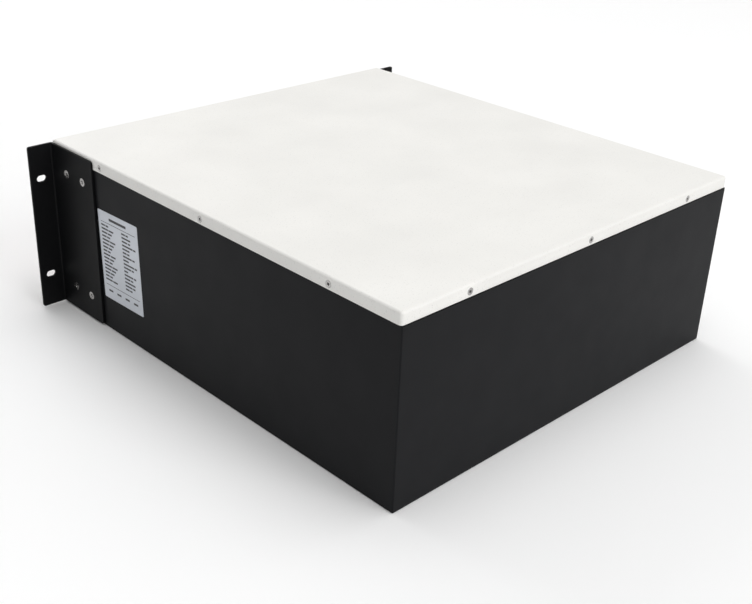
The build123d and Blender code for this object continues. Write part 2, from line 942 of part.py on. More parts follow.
with BuildPart() as display_module:
    with BuildSketch(looking_forward(board_front_y)):
        with Locations((window_x, window_z)):
            Rectangle(display_width, display_height)
    extrude(amount=board_front_y - front_y - fit_gap)
save(display_module, "display_module")

with BuildPart() as status_leds:
    with BuildSketch(looking_forward(board_front_y)):
        with Locations(*[(x, led_z) for x in led_x]):
            Circle(led_radius)
    extrude(amount=board_front_y - panel_y + led_proud)
    fillet(status_leds.faces().group_by(Axis.Y)[0].edges(), radius=led_round)
save(status_leds, "status_leds")

# ---- Address switch: a body with four slots, and a slider in each
dip_places = [dip_x + (step - (dip_count - 1) / 2) * dip_pitch for step in range(dip_count)]
slider_low = dip_z - dip_slot_height / 2 + dip_slider_rest
with BuildPart() as address_switch_body:
    with BuildSketch(looking_forward(board_front_y)):
        with Locations((dip_x, dip_z)):
            Rectangle(dip_width, dip_height)
    extrude(amount=board_front_y - dip_front_y)
    with BuildSketch(looking_forward(dip_front_y)):
        with Locations(*[(x, dip_z) for x in dip_places]):
            Rectangle(dip_slot_width, dip_slot_height)
    extrude(amount=-dip_slot_depth, mode=Mode.SUBTRACT)
save(address_switch_body, "address_switch_body")

for number, x in enumerate(dip_places, start=1):
    with BuildPart() as address_slider:
        with BuildSketch(looking_forward(dip_front_y + dip_slot_depth - dip_slider_gap)):
            with Locations((x, slider_low + dip_slider_height / 2)):
                Rectangle(dip_slider_width, dip_slider_height)
        extrude(amount=dip_slot_depth - dip_slider_gap + dip_slider_proud)
    save(address_slider, f"address_slider_{number}")

# ---- Network sockets in a row, each with a stepped mouth
port_places = [
    (port_x + (step - (port_count - 1) / 2) * port_pitch, port_z) for step in range(port_count)
]
port_front_y = panel_y - port_proud
with BuildPart() as network_sockets:
    with BuildSketch(looking_forward(board_front_y)):
        with Locations(*port_places):
            Rectangle(port_width, port_height)
    extrude(amount=board_front_y - port_front_y)
    with BuildSketch(looking_forward(port_front_y)):
        with Locations(*[(x, z - port_mouth_drop) for x, z in port_places]):
            Rectangle(port_mouth_width, port_mouth_height)
        with Locations(
            *[
                (x, z - port_mouth_drop + (port_mouth_height + port_notch_height) / 2)
                for x, z in port_places
            ]
        ):
            Rectangle(port_notch_width, port_notch_height)
    extrude(amount=-port_mouth_depth, mode=Mode.SUBTRACT)
save(network_sockets, "network_sockets")

# ---- Earth stud, and the nuts that hold it and the power button
earth_nut_front_y = panel_y - earth_washer - earth_nut_height
with BuildPart() as earth_stud:
    with BuildSketch(looking_forward(front_y + earth_tail)):
        with Locations((earth_x, earth_z)):
            Circle(earth_core_radius)
    extrude(amount=front_y + earth_tail - earth_nut_front_y)
    with BuildSketch(looking_forward(earth_nut_front_y)):
        with Locations((earth_x, earth_z)):
            Circle(earth_radius)
    extrude(amount=earth_nut_front_y - panel_y + earth_reach)
    with BuildSketch(looking_forward(front_y)):
        with Locations((earth_x, earth_z)):
            Circle(earth_washer_radius)
    extrude(amount=-earth_washer)
save(earth_stud, "earth_stud")

with BuildPart() as panel_nuts:
    with BuildSketch(looking_forward(panel_y)):
        with Locations((earth_x, earth_z)):
            Circle(earth_washer_radius)
            Circle(earth_core_radius + hinge_clearance, mode=Mode.SUBTRACT)
    extrude(amount=earth_washer)
    with BuildSketch(looking_forward(panel_y - earth_washer)):
        with Locations((earth_x, earth_z)):
            RegularPolygon(earth_nut_width / 2, 6, major_radius=False)
            Circle(earth_core_radius + hinge_clearance, mode=Mode.SUBTRACT)
    extrude(amount=earth_nut_height)
    with BuildSketch(looking_forward(front_y)):
        with Locations((power_x, power_z)):
            RegularPolygon(power_nut_radius, 6, major_radius=False)
            Circle(power_barrel_radius + hinge_clearance, mode=Mode.SUBTRACT)
    extrude(amount=-power_nut)
save(panel_nuts, "panel_nuts")

# ---- Cells: two rows of eight, stacked along X with their long sides along Y
cell_x = [(step - (cell_count - 1) / 2) * cell_pitch for step in range(cell_count)]
for row, y in row_y.items():
    with BuildPart() as cell_row:
        with BuildSketch(Plane.XY.offset(cell_bottom)):
            with Locations(*[(x, y) for x in cell_x]):
                RectangleRounded(cell_thickness, cell_length, cell_corner)
        extrude(amount=cell_height)
    save(cell_row, f"cells_{row}_row")

with BuildPart() as cell_spacers:
    with BuildSketch(Plane.XY.offset(cell_bottom)):
        for y in row_y.values():
            with Locations(*[(x + cell_pitch / 2, y) for x in cell_x[:-1]]):
                Rectangle(spacer, cell_length)
    extrude(amount=cell_height)
save(cell_spacers, "cell_spacers")

post_places = [
    (x, y + side * post_offset) for y in row_y.values() for x in cell_x for side in (-1, 1)
]
with BuildPart() as cell_posts:
    with BuildSketch(Plane.XY.offset(cell_top)):
        with Locations(*post_places):
            Circle(post_radius)
    extrude(amount=post_height)
    with BuildSketch(Plane.XY.offset(cell_top + post_height)):
        with Locations(*post_places):
            Circle(post_stud_radius)
    extrude(amount=post_stud_top - cell_top - post_height)
save(cell_posts, "cell_posts")

with BuildPart() as row_end_plates:
    with BuildSketch(Plane.XY.offset(cell_bottom)):
        with Locations(
            *[
                (side * (row_length + end_plate) / 2, y)
                for y in row_y.values()
                for side in (-1, 1)
            ]
        ):
            Rectangle(end_plate, cell_length)
    extrude(amount=cell_height)
save(row_end_plates, "row_end_plates")

strapped_length = row_length + 2 * end_plate
with BuildPart() as row_straps:
    for z in strap_z:
        with BuildSketch(Plane.XY.offset(z)):
            for y in row_y.values():
                with Locations((0, y)):
                    Rectangle(
                        strapped_length + 2 * strap_thickness, cell_length + 2 * strap_thickness
                    )
                    Rectangle(strapped_length, cell_length, mode=Mode.SUBTRACT)
        extrude(amount=strap_width)
save(row_straps, "row_straps")

with BuildPart() as base_pad:
    with BuildSketch(Plane.XY.offset(tray_sheet)):
        for y in row_y.values():
            with Locations((0, y)):
                Rectangle(strapped_length, cell_length)
    extrude(amount=base_pad_thickness)
save(base_pad, "base_pad")

# ---- Series links: each joins two neighbours, on alternate sides of a row
busbar_z = cell_top + post_height
link_places = [
    ((cell_x[step] + cell_x[step + 1]) / 2, y + post_offset * (-1) ** step)
    for y in row_y.values()
    for step in range(cell_count - 1)
]
with BuildPart() as series_busbars:
    with BuildSketch(Plane.XY.offset(busbar_z)):
        with Locations(*link_places):
            RectangleRounded(cell_pitch + busbar_width, busbar_width, busbar_round)
        with Locations(*post_places):
            Circle(busbar_hole_radius, mode=Mode.SUBTRACT)
    extrude(amount=busbar_thickness)
save(series_busbars, "series_busbars")

with BuildPart() as busbar_nuts:
    with BuildSketch(Plane.XY.offset(busbar_z + busbar_thickness)):
        with Locations(*post_places):
            RegularPolygon(busbar_nut_width / 2, 6, major_radius=False)
            Circle(post_stud_radius + hinge_clearance, mode=Mode.SUBTRACT)
    extrude(amount=busbar_nut_height)
save(busbar_nuts, "busbar_nuts")

free_posts = [
    (x, y - post_offset) for y in row_y.values() for x in (cell_x[0], cell_x[-1])
]
with BuildPart() as insulation_sheet:
    with BuildSketch(Plane.XY.offset(post_stud_top)):
        sheet_low = row_y["front"] - cell_length / 2
        sheet_high = row_y["rear"] + cell_length / 2
        with Locations((0, (sheet_low + sheet_high) / 2)):
            Rectangle(2 * sheet_half_width, sheet_high - sheet_low)
        with Locations(*free_posts):
            Rectangle(sheet_notch_width, sheet_notch_length, mode=Mode.SUBTRACT)
    extrude(amount=sheet_thickness)
save(insulation_sheet, "insulation_sheet")

# ---- Battery management unit on its bracket
with BuildPart() as bms_bracket:
    with BuildSketch(looking_forward(bracket_y)):
        with Locations((0, (tray_sheet + bracket_height) / 2)):
            Rectangle(2 * bracket_half_width, bracket_height - tray_sheet)
    extrude(amount=bracket_sheet)
    with BuildSketch(Plane.XY.offset(tray_sheet)):
        with Locations((0, bracket_y - bracket_foot / 2)):
            Rectangle(2 * bracket_half_width, bracket_foot)
    extrude(amount=bracket_sheet)
save(bms_bracket, "bms_bracket")

with BuildPart() as bms_board:
    with BuildSketch(looking_forward(bms_y)):
        with Locations((0, bms_z)):
            RectangleRounded(bms_width, bms_height, board_corner)
    extrude(amount=bms_thickness)
save(bms_board, "bms_board")

with BuildPart() as board_standoffs:
    with BuildSketch(looking_forward(bracket_y - bracket_sheet)):
        with Locations((0, bms_z)):
            with GridLocations(bms_width - 2 * standoff_inset, bms_height - 2 * standoff_inset, 2, 2):
                RegularPolygon(standoff_radius, 6)
    extrude(amount=bracket_y - bracket_sheet - bms_y)
    with BuildSketch(looking_forward(board_front_y)):
        with Locations(((board_left + board_right) / 2, (board_low + board_high) / 2)):
            with GridLocations(
                board_right - board_left - 2 * standoff_inset,
                board_high - board_low - 2 * standoff_inset,
                2,
                2,
            ):
                RegularPolygon(standoff_radius, 6)
    extrude(amount=board_front_y - front_y)
save(board_standoffs, "board_standoffs")

mosfet_y = bms_y - bms_thickness
with BuildPart() as bms_transistors:
    with BuildSketch(looking_forward(mosfet_y)):
        for z in mosfet_rows:
            with Locations((0, z)):
                with GridLocations(mosfet_pitch, 0, mosfet_count, 1):
                    Rectangle(mosfet_width, mosfet_height)
    extrude(amount=mosfet_depth)
save(bms_transistors, "bms_transistors")

heatsink_y = mosfet_y - mosfet_depth
with BuildPart() as bms_heatsink:
    with BuildSketch(looking_forward(heatsink_y)):
        with Locations((0, bms_z)):
            Rectangle(heatsink_width, heatsink_height)
    extrude(amount=heatsink_base)
    with BuildSketch(looking_forward(heatsink_y - heatsink_base)):
        with Locations((0, bms_z)):
            fin_pitch = (heatsink_height - fin_thickness) / (fin_count - 1)
            with GridLocations(0, fin_pitch, 1, fin_count):
                Rectangle(heatsink_width, fin_thickness)
    extrude(amount=heatsink_depth - heatsink_base)
save(bms_heatsink, "bms_heatsink")

# ---- Lugs: angled ones on the four free posts, straight ferrules at the other cable ends
breaker_top_z = breaker_z + breaker_half_height
breaker_low_z = breaker_z - breaker_half_height
stud_tail_y = panel_y + boss_depth + stud_tail
negative_stud_x = terminal_x["negative"] + stud_half_pitch
positive_stud_x = terminal_x["positive"] + stud_half_pitch
with BuildPart() as cable_lugs:
    with BuildSketch(Plane.XY.offset(busbar_z)):
        with Locations(*[(x, y - lug_set / 2) for x, y in free_posts]):
            RectangleRounded(lug_width, lug_length, lug_round)
        with Locations(*free_posts):
            Circle(busbar_hole_radius, mode=Mode.SUBTRACT)
    extrude(amount=busbar_thickness)
    with BuildSketch(Plane.XY.offset(busbar_z)):
        with Locations(*[(x, y - lug_set) for x, y in free_posts]):
            Circle(lug_barrel_radius)
    extrude(amount=lug_barrel_top - busbar_z)
    with BuildSketch(looking_forward(mosfet_y)):
        with Locations((-bms_pad_x, bms_pad_z), (bms_pad_x, bms_pad_z)):
            Circle(lug_barrel_radius)
    extrude(amount=ferrule_length)
    with BuildSketch(looking_forward(stud_tail_y)):
        with Locations((negative_stud_x, terminal_z), (positive_stud_x, terminal_z)):
            Circle(lug_barrel_radius)
    extrude(amount=-ferrule_length)
    for z, grow in ((breaker_top_z, 1), (breaker_low_z, -1)):
        with BuildSketch(Plane.XY.offset(z)):
            with Locations((breaker_cable_x, breaker_cable_y)):
                Circle(lug_barrel_radius)
        extrude(amount=grow * ferrule_length)
save(cable_lugs, "cable_lugs")


def run_cable(points, radii, radius):
    """A round cable through the given points, its corners rounded by the given radii."""
    start = Vector(points[0])
    with BuildPart() as cable:
        with BuildLine():
            FilletPolyline(*points, radius=radii)
        with BuildSketch(Plane(origin=start, z_dir=Vector(points[1]) - start)):
            Circle(radius)
        sweep()
    return cable.part


left_x = cell_x[0]
right_x = cell_x[-1]
front_post_y = row_y["front"] - post_offset - lug_set
rear_post_y = row_y["rear"] - post_offset - lug_set
ferrule_y = mosfet_y - ferrule_length
stud_cable_y = stud_tail_y + ferrule_length
cable_routes = [
    # Pack positive to the breaker
    (
        [
            (left_x, rear_post_y, lug_barrel_top),
            (left_x, rear_post_y, high_cable_z),
            (left_x - wall_lane, rear_post_y - wall_lane_start, high_cable_z),
            (left_x - wall_lane, wall_lane_end_y, high_cable_z),
            (breaker_cable_x, breaker_cable_y, high_cable_z),
            (breaker_cable_x, breaker_cable_y, breaker_top_z + ferrule_length),
        ],
        [cable_tight_bend, cable_bend, cable_bend, breaker_cable_bend],
    ),
    # Breaker to the positive stud
    (
        [
            (breaker_cable_x, breaker_cable_y, breaker_low_z - ferrule_length),
            (breaker_cable_x, breaker_cable_y, low_cable_z),
            (breaker_cable_x + floor_lane_start, floor_lane_y, low_cable_z),
            (positive_stud_x - floor_lane_end, floor_lane_y, low_cable_z),
            (positive_stud_x, riser_y, terminal_z),
            (positive_stud_x, stud_cable_y, terminal_z),
        ],
        [cable_tight_bend, cable_bend, cable_bend, cable_bend],
    ),
    # Pack negative to the management unit
    (
        [
            (left_x, front_post_y, lug_barrel_top),
            (left_x, front_post_y, high_cable_z - bridge_drop),
            (left_x, front_post_y - bridge_reach, high_cable_z - bridge_drop),
            (-bms_pad_x, ferrule_y - bms_run_in, bms_pad_z),
            (-bms_pad_x, ferrule_y, bms_pad_z),
        ],
        [cable_tight_bend, cable_bend, cable_bend],
    ),
    # Management unit to the negative stud
    (
        [
            (bms_pad_x, ferrule_y, bms_pad_z),
            (bms_pad_x, ferrule_y - bms_run_out, bms_pad_z),
            (negative_stud_x, stud_cable_y + stud_run_in, terminal_z),
            (negative_stud_x, stud_cable_y, terminal_z),
        ],
        [cable_bend, cable_bend],
    ),
    # Front row to rear row
    (
        [
            (right_x, front_post_y, lug_barrel_top),
            (right_x, front_post_y, high_cable_z),
            (right_x, rear_post_y, high_cable_z),
            (right_x, rear_post_y, lug_barrel_top),
        ],
        [cable_tight_bend, cable_tight_bend],
    ),
]
with BuildPart() as power_cables:
    for points, radii in cable_routes:
        add(run_cable(points, radii, cable_radius))
save(power_cables, "power_cables")

plug_y = mosfet_y - sense_plug_depth / 2
plug_top = bms_z + bms_height / 2
row_gap_y = (row_y["front"] + row_y["rear"]) / 2
with BuildPart() as sense_harness:
    harness_route = [
        (left_x + harness_start, row_gap_y, harness_z),
        (0, row_gap_y, harness_z),
        (0, row_gap_y - harness_turn_y, harness_z),
        (harness_end_x, row_gap_y - harness_run_y, harness_z),
        (harness_end_x, plug_y, harness_z),
        (harness_end_x, plug_y, plug_top),
    ]
    add(run_cable(harness_route, harness_bend, harness_radius))
    with BuildSketch(Plane.XY.offset(plug_top)):
        with Locations((harness_end_x, plug_y)):
            Rectangle(sense_plug_width, sense_plug_depth)
    extrude(amount=-sense_plug_height)
save(sense_harness, "sense_harness")
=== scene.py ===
"""The looks of a rack-mounted lithium battery pack, laid out as an add-on and run as a script.

Lengths in the settings are in metres.  X points right as seen from the front, Y from the front
panel to the rear wall and Z up, and the origin is the centre of the case's underside.
"""

import json
import math

import bpy
from bpy.props import FloatProperty, FloatVectorProperty, IntProperty, PointerProperty
from mathutils import Matrix, Vector


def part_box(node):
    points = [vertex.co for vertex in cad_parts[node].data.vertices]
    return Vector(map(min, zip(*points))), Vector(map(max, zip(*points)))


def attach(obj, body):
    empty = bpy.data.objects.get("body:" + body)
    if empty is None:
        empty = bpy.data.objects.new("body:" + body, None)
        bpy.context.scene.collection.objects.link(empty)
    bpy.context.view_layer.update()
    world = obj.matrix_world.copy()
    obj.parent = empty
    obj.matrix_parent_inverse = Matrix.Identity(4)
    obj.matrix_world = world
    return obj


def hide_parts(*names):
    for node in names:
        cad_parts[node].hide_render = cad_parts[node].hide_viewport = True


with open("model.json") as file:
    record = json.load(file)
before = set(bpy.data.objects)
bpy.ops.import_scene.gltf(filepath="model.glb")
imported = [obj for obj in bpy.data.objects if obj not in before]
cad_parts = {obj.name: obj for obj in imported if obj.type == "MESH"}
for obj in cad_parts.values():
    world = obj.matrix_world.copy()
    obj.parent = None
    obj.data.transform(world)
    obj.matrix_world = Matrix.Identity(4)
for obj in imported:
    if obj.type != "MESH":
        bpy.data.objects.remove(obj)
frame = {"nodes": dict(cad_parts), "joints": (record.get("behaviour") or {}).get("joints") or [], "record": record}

bl_info = {
    "name": "Rack battery pack",
    "version": (1, 0, 0),
    "blender": (4, 5, 0),
    "location": "3D View > Sidebar > Battery pack",
    "description": "Builds the shells, fasteners, front fittings and finishes of a rack battery pack",
    "category": "Object",
}

MM = 0.001
X, Y, Z = Vector((1, 0, 0)), Vector((0, 1, 0)), Vector((0, 0, 1))
NODES = frame["nodes"]
SLOTS = {row["node"]: row["material_slot"] for row in frame["record"]["subparts"]}
JOINTS = {row["name"]: row for row in frame["joints"]}
MOUNTS = {row["name"]: row for row in frame["record"]["mounts"]}
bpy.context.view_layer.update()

# How close two places must be to count as one, and how far a cutter reaches past what it cuts
HAIR = 0.01 * MM
OVER = 5 * MM


# ---- Selecting and shaping, as by hand


def deselect():
    """Nothing stays selected, so that an operator acts only on what is picked next."""
    if bpy.context.object and bpy.context.object.mode != "OBJECT":
        bpy.ops.object.mode_set(mode="OBJECT")
    bpy.ops.object.select_all(action="DESELECT")


def activate(*pieces):
    """Only these pieces are selected, the first of them active."""
    deselect()
    for piece in pieces:
        piece.select_set(True)
    bpy.context.view_layer.objects.active = pieces[0]
    return pieces[0]


def settle(piece):
    """Move a piece's place into its mesh, so that its object sits at the origin."""
    activate(piece)
    bpy.ops.object.transform_apply(location=True, rotation=True, scale=True)
    return piece


def new_piece(name):
    """Name the primitive just added and settle it."""
    piece = bpy.context.object
    piece.name = name
    piece.data.name = name
    return settle(piece)


def block(name, low, high):
    """A box from its lowest to its highest corner."""
    low, high = Vector(low), Vector(high)
    deselect()
    bpy.ops.mesh.primitive_cube_add(size=1, location=(low + high) / 2, scale=high - low)
    return new_piece(name)


def post(name, start, end, radius, sides=32, end_radius=None):
    """A round bar or a cone from one point to another."""
    start, end = Vector(start), Vector(end)
    turn = (end - start).normalized().to_track_quat("Z", "Y").to_euler()
    top = radius if end_radius is None else end_radius
    deselect()
    bpy.ops.mesh.primitive_cone_add(
        vertices=sides,
        radius1=radius,
        radius2=top,
        depth=(end - start).length,
        location=(start + end) / 2,
        rotation=turn,
    )
    return new_piece(name)


def edit(piece, kind="FACE", test=None):
    """Open a piece in edit mode with only the faces, edges or vertices that pass the test picked.

    A face's test gets its centre and normal, an edge's its two ends and a vertex's its place.
    """
    activate(piece)
    bpy.ops.object.mode_set(mode="EDIT")
    bpy.ops.mesh.select_mode(type=kind)
    bpy.ops.mesh.select_all(action="DESELECT" if test else "SELECT")
    if test is None:
        return
    bpy.ops.object.mode_set(mode="OBJECT")
    mesh = piece.data
    if kind == "FACE":
        for face in mesh.polygons:
            face.select = test(face.center, face.normal)
    elif kind == "EDGE":
        for edge in mesh.edges:
            edge.select = test(*(mesh.vertices[index].co for index in edge.vertices))
    else:
        for vertex in mesh.vertices:
            vertex.select = test(vertex.co)
    bpy.ops.object.mode_set(mode="EDIT")


def done():
    """Leave edit mode."""
    bpy.ops.object.mode_set(mode="OBJECT")
    return bpy.context.object


def facing(direction, cosine=0.9):
    """A test for faces that look in a direction."""
    return lambda centre, normal: normal.dot(direction) > cosine


def edge_along(direction, near=None, reach=0.5 * MM):
    """A test for edges that run along a direction, all of them or those that pass near a point.

    The point's part along the direction is ignored.
    """

    def test(start, end):
        run = end - start
        if abs(run.normalized().dot(direction)) < 0.999:
            return False
        if near is None:
            return True
        gap = start - Vector(near)
        return (gap - gap.dot(direction) * direction).length < reach

    return test


def round_edges(piece, test, radius, segments=4):
    """Round the picked edges."""
    edit(piece, "EDGE", test)
    bpy.ops.mesh.bevel(offset=radius, segments=segments, affect="EDGES")
    return done()


def remove_faces(piece, test):
    """Open a shell at the picked faces."""
    edit(piece, "FACE", test)
    bpy.ops.mesh.delete(type="FACE")
    return done()


def pull_faces(piece, test, move):
    """Extrude the picked faces by a distance."""
    edit(piece, "FACE", test)
    bpy.ops.mesh.extrude_region_move(TRANSFORM_OT_translate={"value": move})
    return done()


def apply_all(piece):
    """Apply every modifier, in order."""
    activate(piece)
    for modifier in list(piece.modifiers):
        bpy.ops.object.modifier_apply(modifier=modifier.name)
    return piece


def sheet_of(piece, thickness):
    """Give an open shell its sheet's thickness, inwards."""
    modifier = piece.modifiers.new("Sheet", "SOLIDIFY")
    modifier.thickness = thickness
    modifier.offset = -1
    modifier.use_even_offset = True
    return apply_all(piece)


def ease_edges(piece, width, segments=2, angle=40):
    """Break every sharp edge by a small rounding, as a real edge is."""
    modifier = piece.modifiers.new("Edges", "BEVEL")
    modifier.width = width
    modifier.segments = segments
    modifier.limit_method = "ANGLE"
    modifier.angle_limit = math.radians(angle)
    modifier.use_clamp_overlap = True
    return apply_all(piece)


def cut(piece, cutters, operation="DIFFERENCE"):
    """Cut pieces out of a piece, or merge them into it, and discard them."""
    cutter = join(cutters, "cutter")
    modifier = piece.modifiers.new("Cut", "BOOLEAN")
    modifier.operation = operation
    modifier.solver = "EXACT"
    modifier.use_self = operation == "UNION"
    modifier.object = cutter
    apply_all(piece)
    bpy.data.objects.remove(cutter)
    return piece


def join(pieces, name):
    """Make several pieces one object."""
    activate(*pieces)
    if len(pieces) > 1:
        bpy.ops.object.join()
    piece = bpy.context.object
    piece.name = name
    piece.data.name = name
    return piece


def smooth(piece, angle=35):
    """Shade smooth, apart from sharp edges, with the large faces keeping their own normals."""
    activate(piece)
    bpy.ops.object.shade_smooth_by_angle(angle=math.radians(angle))
    modifier = piece.modifiers.new("Flat faces", "WEIGHTED_NORMAL")
    modifier.keep_sharp = True
    modifier.weight = 80
    return apply_all(piece)


def copy_to(model, matrix, name):
    """A copy of a model with its own mesh, moved by a matrix."""
    piece = model.copy()
    piece.data = model.data.copy()
    piece.data.transform(matrix)
    piece.name = name
    bpy.context.scene.collection.objects.link(piece)
    return piece


def discard(piece):
    """Remove a model whose copies are placed."""
    bpy.data.objects.remove(piece)


def box_of(places):
    """The lowest and highest corner of some places."""
    return [Vector([pick(place[axis] for place in places) for axis in range(3)]) for pick in (min, max)]


def islands(node):
    """The boxes of a CAD node's separate solids, as (lowest corner, highest corner)."""
    probe = copy_to(NODES[node], Matrix.Identity(4), "probe")
    edit(probe)
    bpy.ops.mesh.remove_doubles(threshold=0.001 * MM)
    bpy.ops.mesh.separate(type="LOOSE")
    done()
    boxes = []
    for solid in list(bpy.context.selected_objects):
        boxes.append(tuple(box_of([vertex.co for vertex in solid.data.vertices])))
        bpy.data.objects.remove(solid)
    return sorted(boxes, key=lambda box: tuple(round(value, 5) for value in box[0]))


def refined_copy(node, name):
    """A merged copy of a CAD node's mesh, to shape further."""
    piece = copy_to(NODES[node], Matrix.Identity(4), name)
    edit(piece)
    bpy.ops.mesh.remove_doubles(threshold=0.001 * MM)
    bpy.ops.mesh.dissolve_limited(angle_limit=math.radians(0.5))
    return done()


def hand_over(piece, material, nodes, body="case"):
    """Give a finished piece its material and its body, and hide the CAD nodes that it stands for."""
    if material is not None:
        piece.data.materials.clear()
        piece.data.materials.append(material)
    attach(piece, body)
    if nodes:
        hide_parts(*nodes)
    return piece


def paint_node(node, material):
    """Give a CAD node that is shown as it is its material."""
    NODES[node].data.materials.clear()
    NODES[node].data.materials.append(material)


# ---- Materials


class Finish:
    """A material being built: its nodes, its links and its shader."""

    def __init__(self, name):
        self.material = bpy.data.materials.new(name)
        self.material.use_nodes = True
        self.nodes = self.material.node_tree.nodes
        self.links = self.material.node_tree.links
        self.shader = self.nodes["Principled BSDF"]
        self.place = self.nodes.new("ShaderNodeTexCoord").outputs["Object"]
        self.height = None

    def set(self, **values):
        """Set values that are the same all over the surface."""
        for socket, value in values.items():
            self.shader.inputs[socket.replace("_", " ")].default_value = value
        return self

    def stretched(self, scale, turn=(0, 0, 0)):
        """Object coordinates, stretched and turned."""
        mapping = self.nodes.new("ShaderNodeMapping")
        mapping.inputs["Scale"].default_value = scale
        mapping.inputs["Rotation"].default_value = turn
        self.links.new(self.place, mapping.inputs["Vector"])
        return mapping.outputs["Vector"]

    def noise(self, size, detail=3.0, place=None, roughness=0.5):
        """Noise whose lumps are about this many metres across."""
        node = self.nodes.new("ShaderNodeTexNoise")
        node.inputs["Scale"].default_value = 1 / size
        node.inputs["Detail"].default_value = detail
        node.inputs["Roughness"].default_value = roughness
        self.links.new(place or self.place, node.inputs["Vector"])
        return node.outputs["Fac"]

    def cells(self, size, place=None, feature="F1"):
        """A cellular pattern whose cells are about this many metres across."""
        node = self.nodes.new("ShaderNodeTexVoronoi")
        node.feature = feature
        node.inputs["Scale"].default_value = 1 / size
        self.links.new(place or self.place, node.inputs["Vector"])
        return node.outputs["Distance"]

    def ramp(self, value, low, high, start=0.3, end=0.7):
        """Colours from low to high as the value goes from start to end."""
        node = self.nodes.new("ShaderNodeValToRGB")
        node.color_ramp.elements[0].position = start
        node.color_ramp.elements[1].position = end
        node.color_ramp.elements[0].color = (*low, 1)
        node.color_ramp.elements[1].color = (*high, 1)
        self.links.new(value, node.inputs["Fac"])
        return node.outputs["Color"]

    def span(self, value, low, high, start=0.3, end=0.7):
        """A number from low to high as the value goes from start to end."""
        node = self.nodes.new("ShaderNodeMapRange")
        node.inputs["From Min"].default_value = start
        node.inputs["From Max"].default_value = end
        node.inputs["To Min"].default_value = low
        node.inputs["To Max"].default_value = high
        self.links.new(value, node.inputs["Value"])
        return node.outputs["Result"]

    def mix(self, factor, first, second):
        """One colour over another where the factor is 1."""
        node = self.nodes.new("ShaderNodeMix")
        node.data_type = "RGBA"
        for value, socket in ((factor, 0), (first, 6), (second, 7)):
            if hasattr(value, "links"):
                self.links.new(value, node.inputs[socket])
            elif socket == 0:
                node.inputs[socket].default_value = value
            else:
                node.inputs[socket].default_value = (*value, 1)
        return node.outputs[2]

    def colour(self, output):
        """The surface's colour."""
        self.links.new(output, self.shader.inputs["Base Color"])
        return self

    def roughness(self, output):
        """The surface's roughness."""
        self.links.new(output, self.shader.inputs["Roughness"])
        return self

    def bump(self, value, depth, strength=1.0):
        """Raise and sink the surface by a depth in metres, on top of what was there before."""
        node = self.nodes.new("ShaderNodeBump")
        node.inputs["Strength"].default_value = strength
        node.inputs["Distance"].default_value = depth
        self.links.new(value, node.inputs["Height"])
        if self.height is not None:
            self.links.new(self.height, node.inputs["Normal"])
        self.height = node.outputs["Normal"]
        self.links.new(self.height, self.shader.inputs["Normal"])
        return self


def shade(colour, factor):
    """A colour made lighter or darker."""
    return tuple(min(1.0, channel * factor) for channel in colour)


def powder_coat(name, colour, roughness, peel, gloss):
    """Oven-cured powder paint: a fine orange peel, slight clouding, uneven gloss and tiny specks."""
    finish = Finish(name)
    finish.set(Specular_IOR_Level=gloss)
    clouding = finish.noise(0.09, detail=4.0)
    clouded = finish.ramp(clouding, shade(colour, 0.97), shade(colour, 1.03))
    specks = finish.span(finish.noise(0.0011, detail=1.0), 0, 1, 0.66, 0.74)
    finish.colour(finish.mix(specks, clouded, shade(colour, 0.82)))
    finish.roughness(finish.span(finish.noise(0.03, detail=3.0), roughness - 0.02, roughness + 0.03))
    finish.bump(finish.noise(0.0018, detail=2.0), peel)
    return finish.bump(finish.noise(0.0004, detail=1.0), peel * 0.25).material


def plated_steel(name, colour, roughness, grain=0.0012):
    """Bright plated steel: faint drawn lines, smudges and small handling marks."""
    finish = Finish(name)
    finish.set(Metallic=1.0)
    smudge = finish.noise(0.006, detail=4.0)
    finish.colour(finish.ramp(smudge, shade(colour, 0.86), colour))
    finish.roughness(finish.span(smudge, roughness - 0.06, roughness + 0.1))
    lines = finish.noise(grain, detail=3.0, place=finish.stretched((1, 1, 7)))
    return finish.bump(lines, 0.00001).material


def moulded_plastic(name, colour, roughness, texture=0.00001, grain=0.0005):
    """Injection-moulded plastic with a spark-eroded texture."""
    finish = Finish(name)
    finish.set(Specular_IOR_Level=0.5)
    finish.colour(finish.ramp(finish.noise(0.02), shade(colour, 0.93), shade(colour, 1.06)))
    finish.roughness(finish.span(finish.noise(0.006), roughness - 0.05, roughness + 0.06))
    return finish.bump(finish.noise(grain, detail=2.0), texture).material


def soft_rubber(name, colour):
    """Silicone or nitrile rubber with a dull bloom."""
    finish = Finish(name)
    finish.set(Sheen_Weight=0.15, Sheen_Roughness=0.5, Specular_IOR_Level=0.35)
    finish.colour(finish.ramp(finish.noise(0.008, detail=5.0), shade(colour, 0.85), shade(colour, 1.2)))
    finish.roughness(finish.span(finish.noise(0.004), 0.62, 0.8))
    return finish.bump(finish.noise(0.0008), 0.00002).material


def drawn_metal(name, colour, roughness, stretch, metallic=1.0):
    """Rolled, drawn or machined metal: fine lines all one way, over slow changes of tone."""
    finish = Finish(name)
    finish.set(Metallic=metallic)
    lines = finish.noise(0.0012, detail=4.0, place=finish.stretched(stretch))
    finish.colour(finish.ramp(lines, shade(colour, 0.82), shade(colour, 1.05), 0.25, 0.75))
    finish.roughness(finish.span(finish.noise(0.02), roughness - 0.05, roughness + 0.1))
    return finish.bump(lines, 0.00002).material


def label_film_finish(colour):
    """Silver-grey polyester film: satin, with faint waves where it was rubbed down."""
    finish = Finish("label_film")
    finish.set(Metallic=0.25, Coat_Weight=0.25, Coat_Roughness=0.25)
    finish.colour(finish.ramp(finish.noise(0.03), shade(colour, 0.95), shade(colour, 1.04)))
    finish.roughness(finish.span(finish.noise(0.012), 0.38, 0.5))
    return finish.bump(finish.noise(0.02, detail=1.0), 0.00015).material


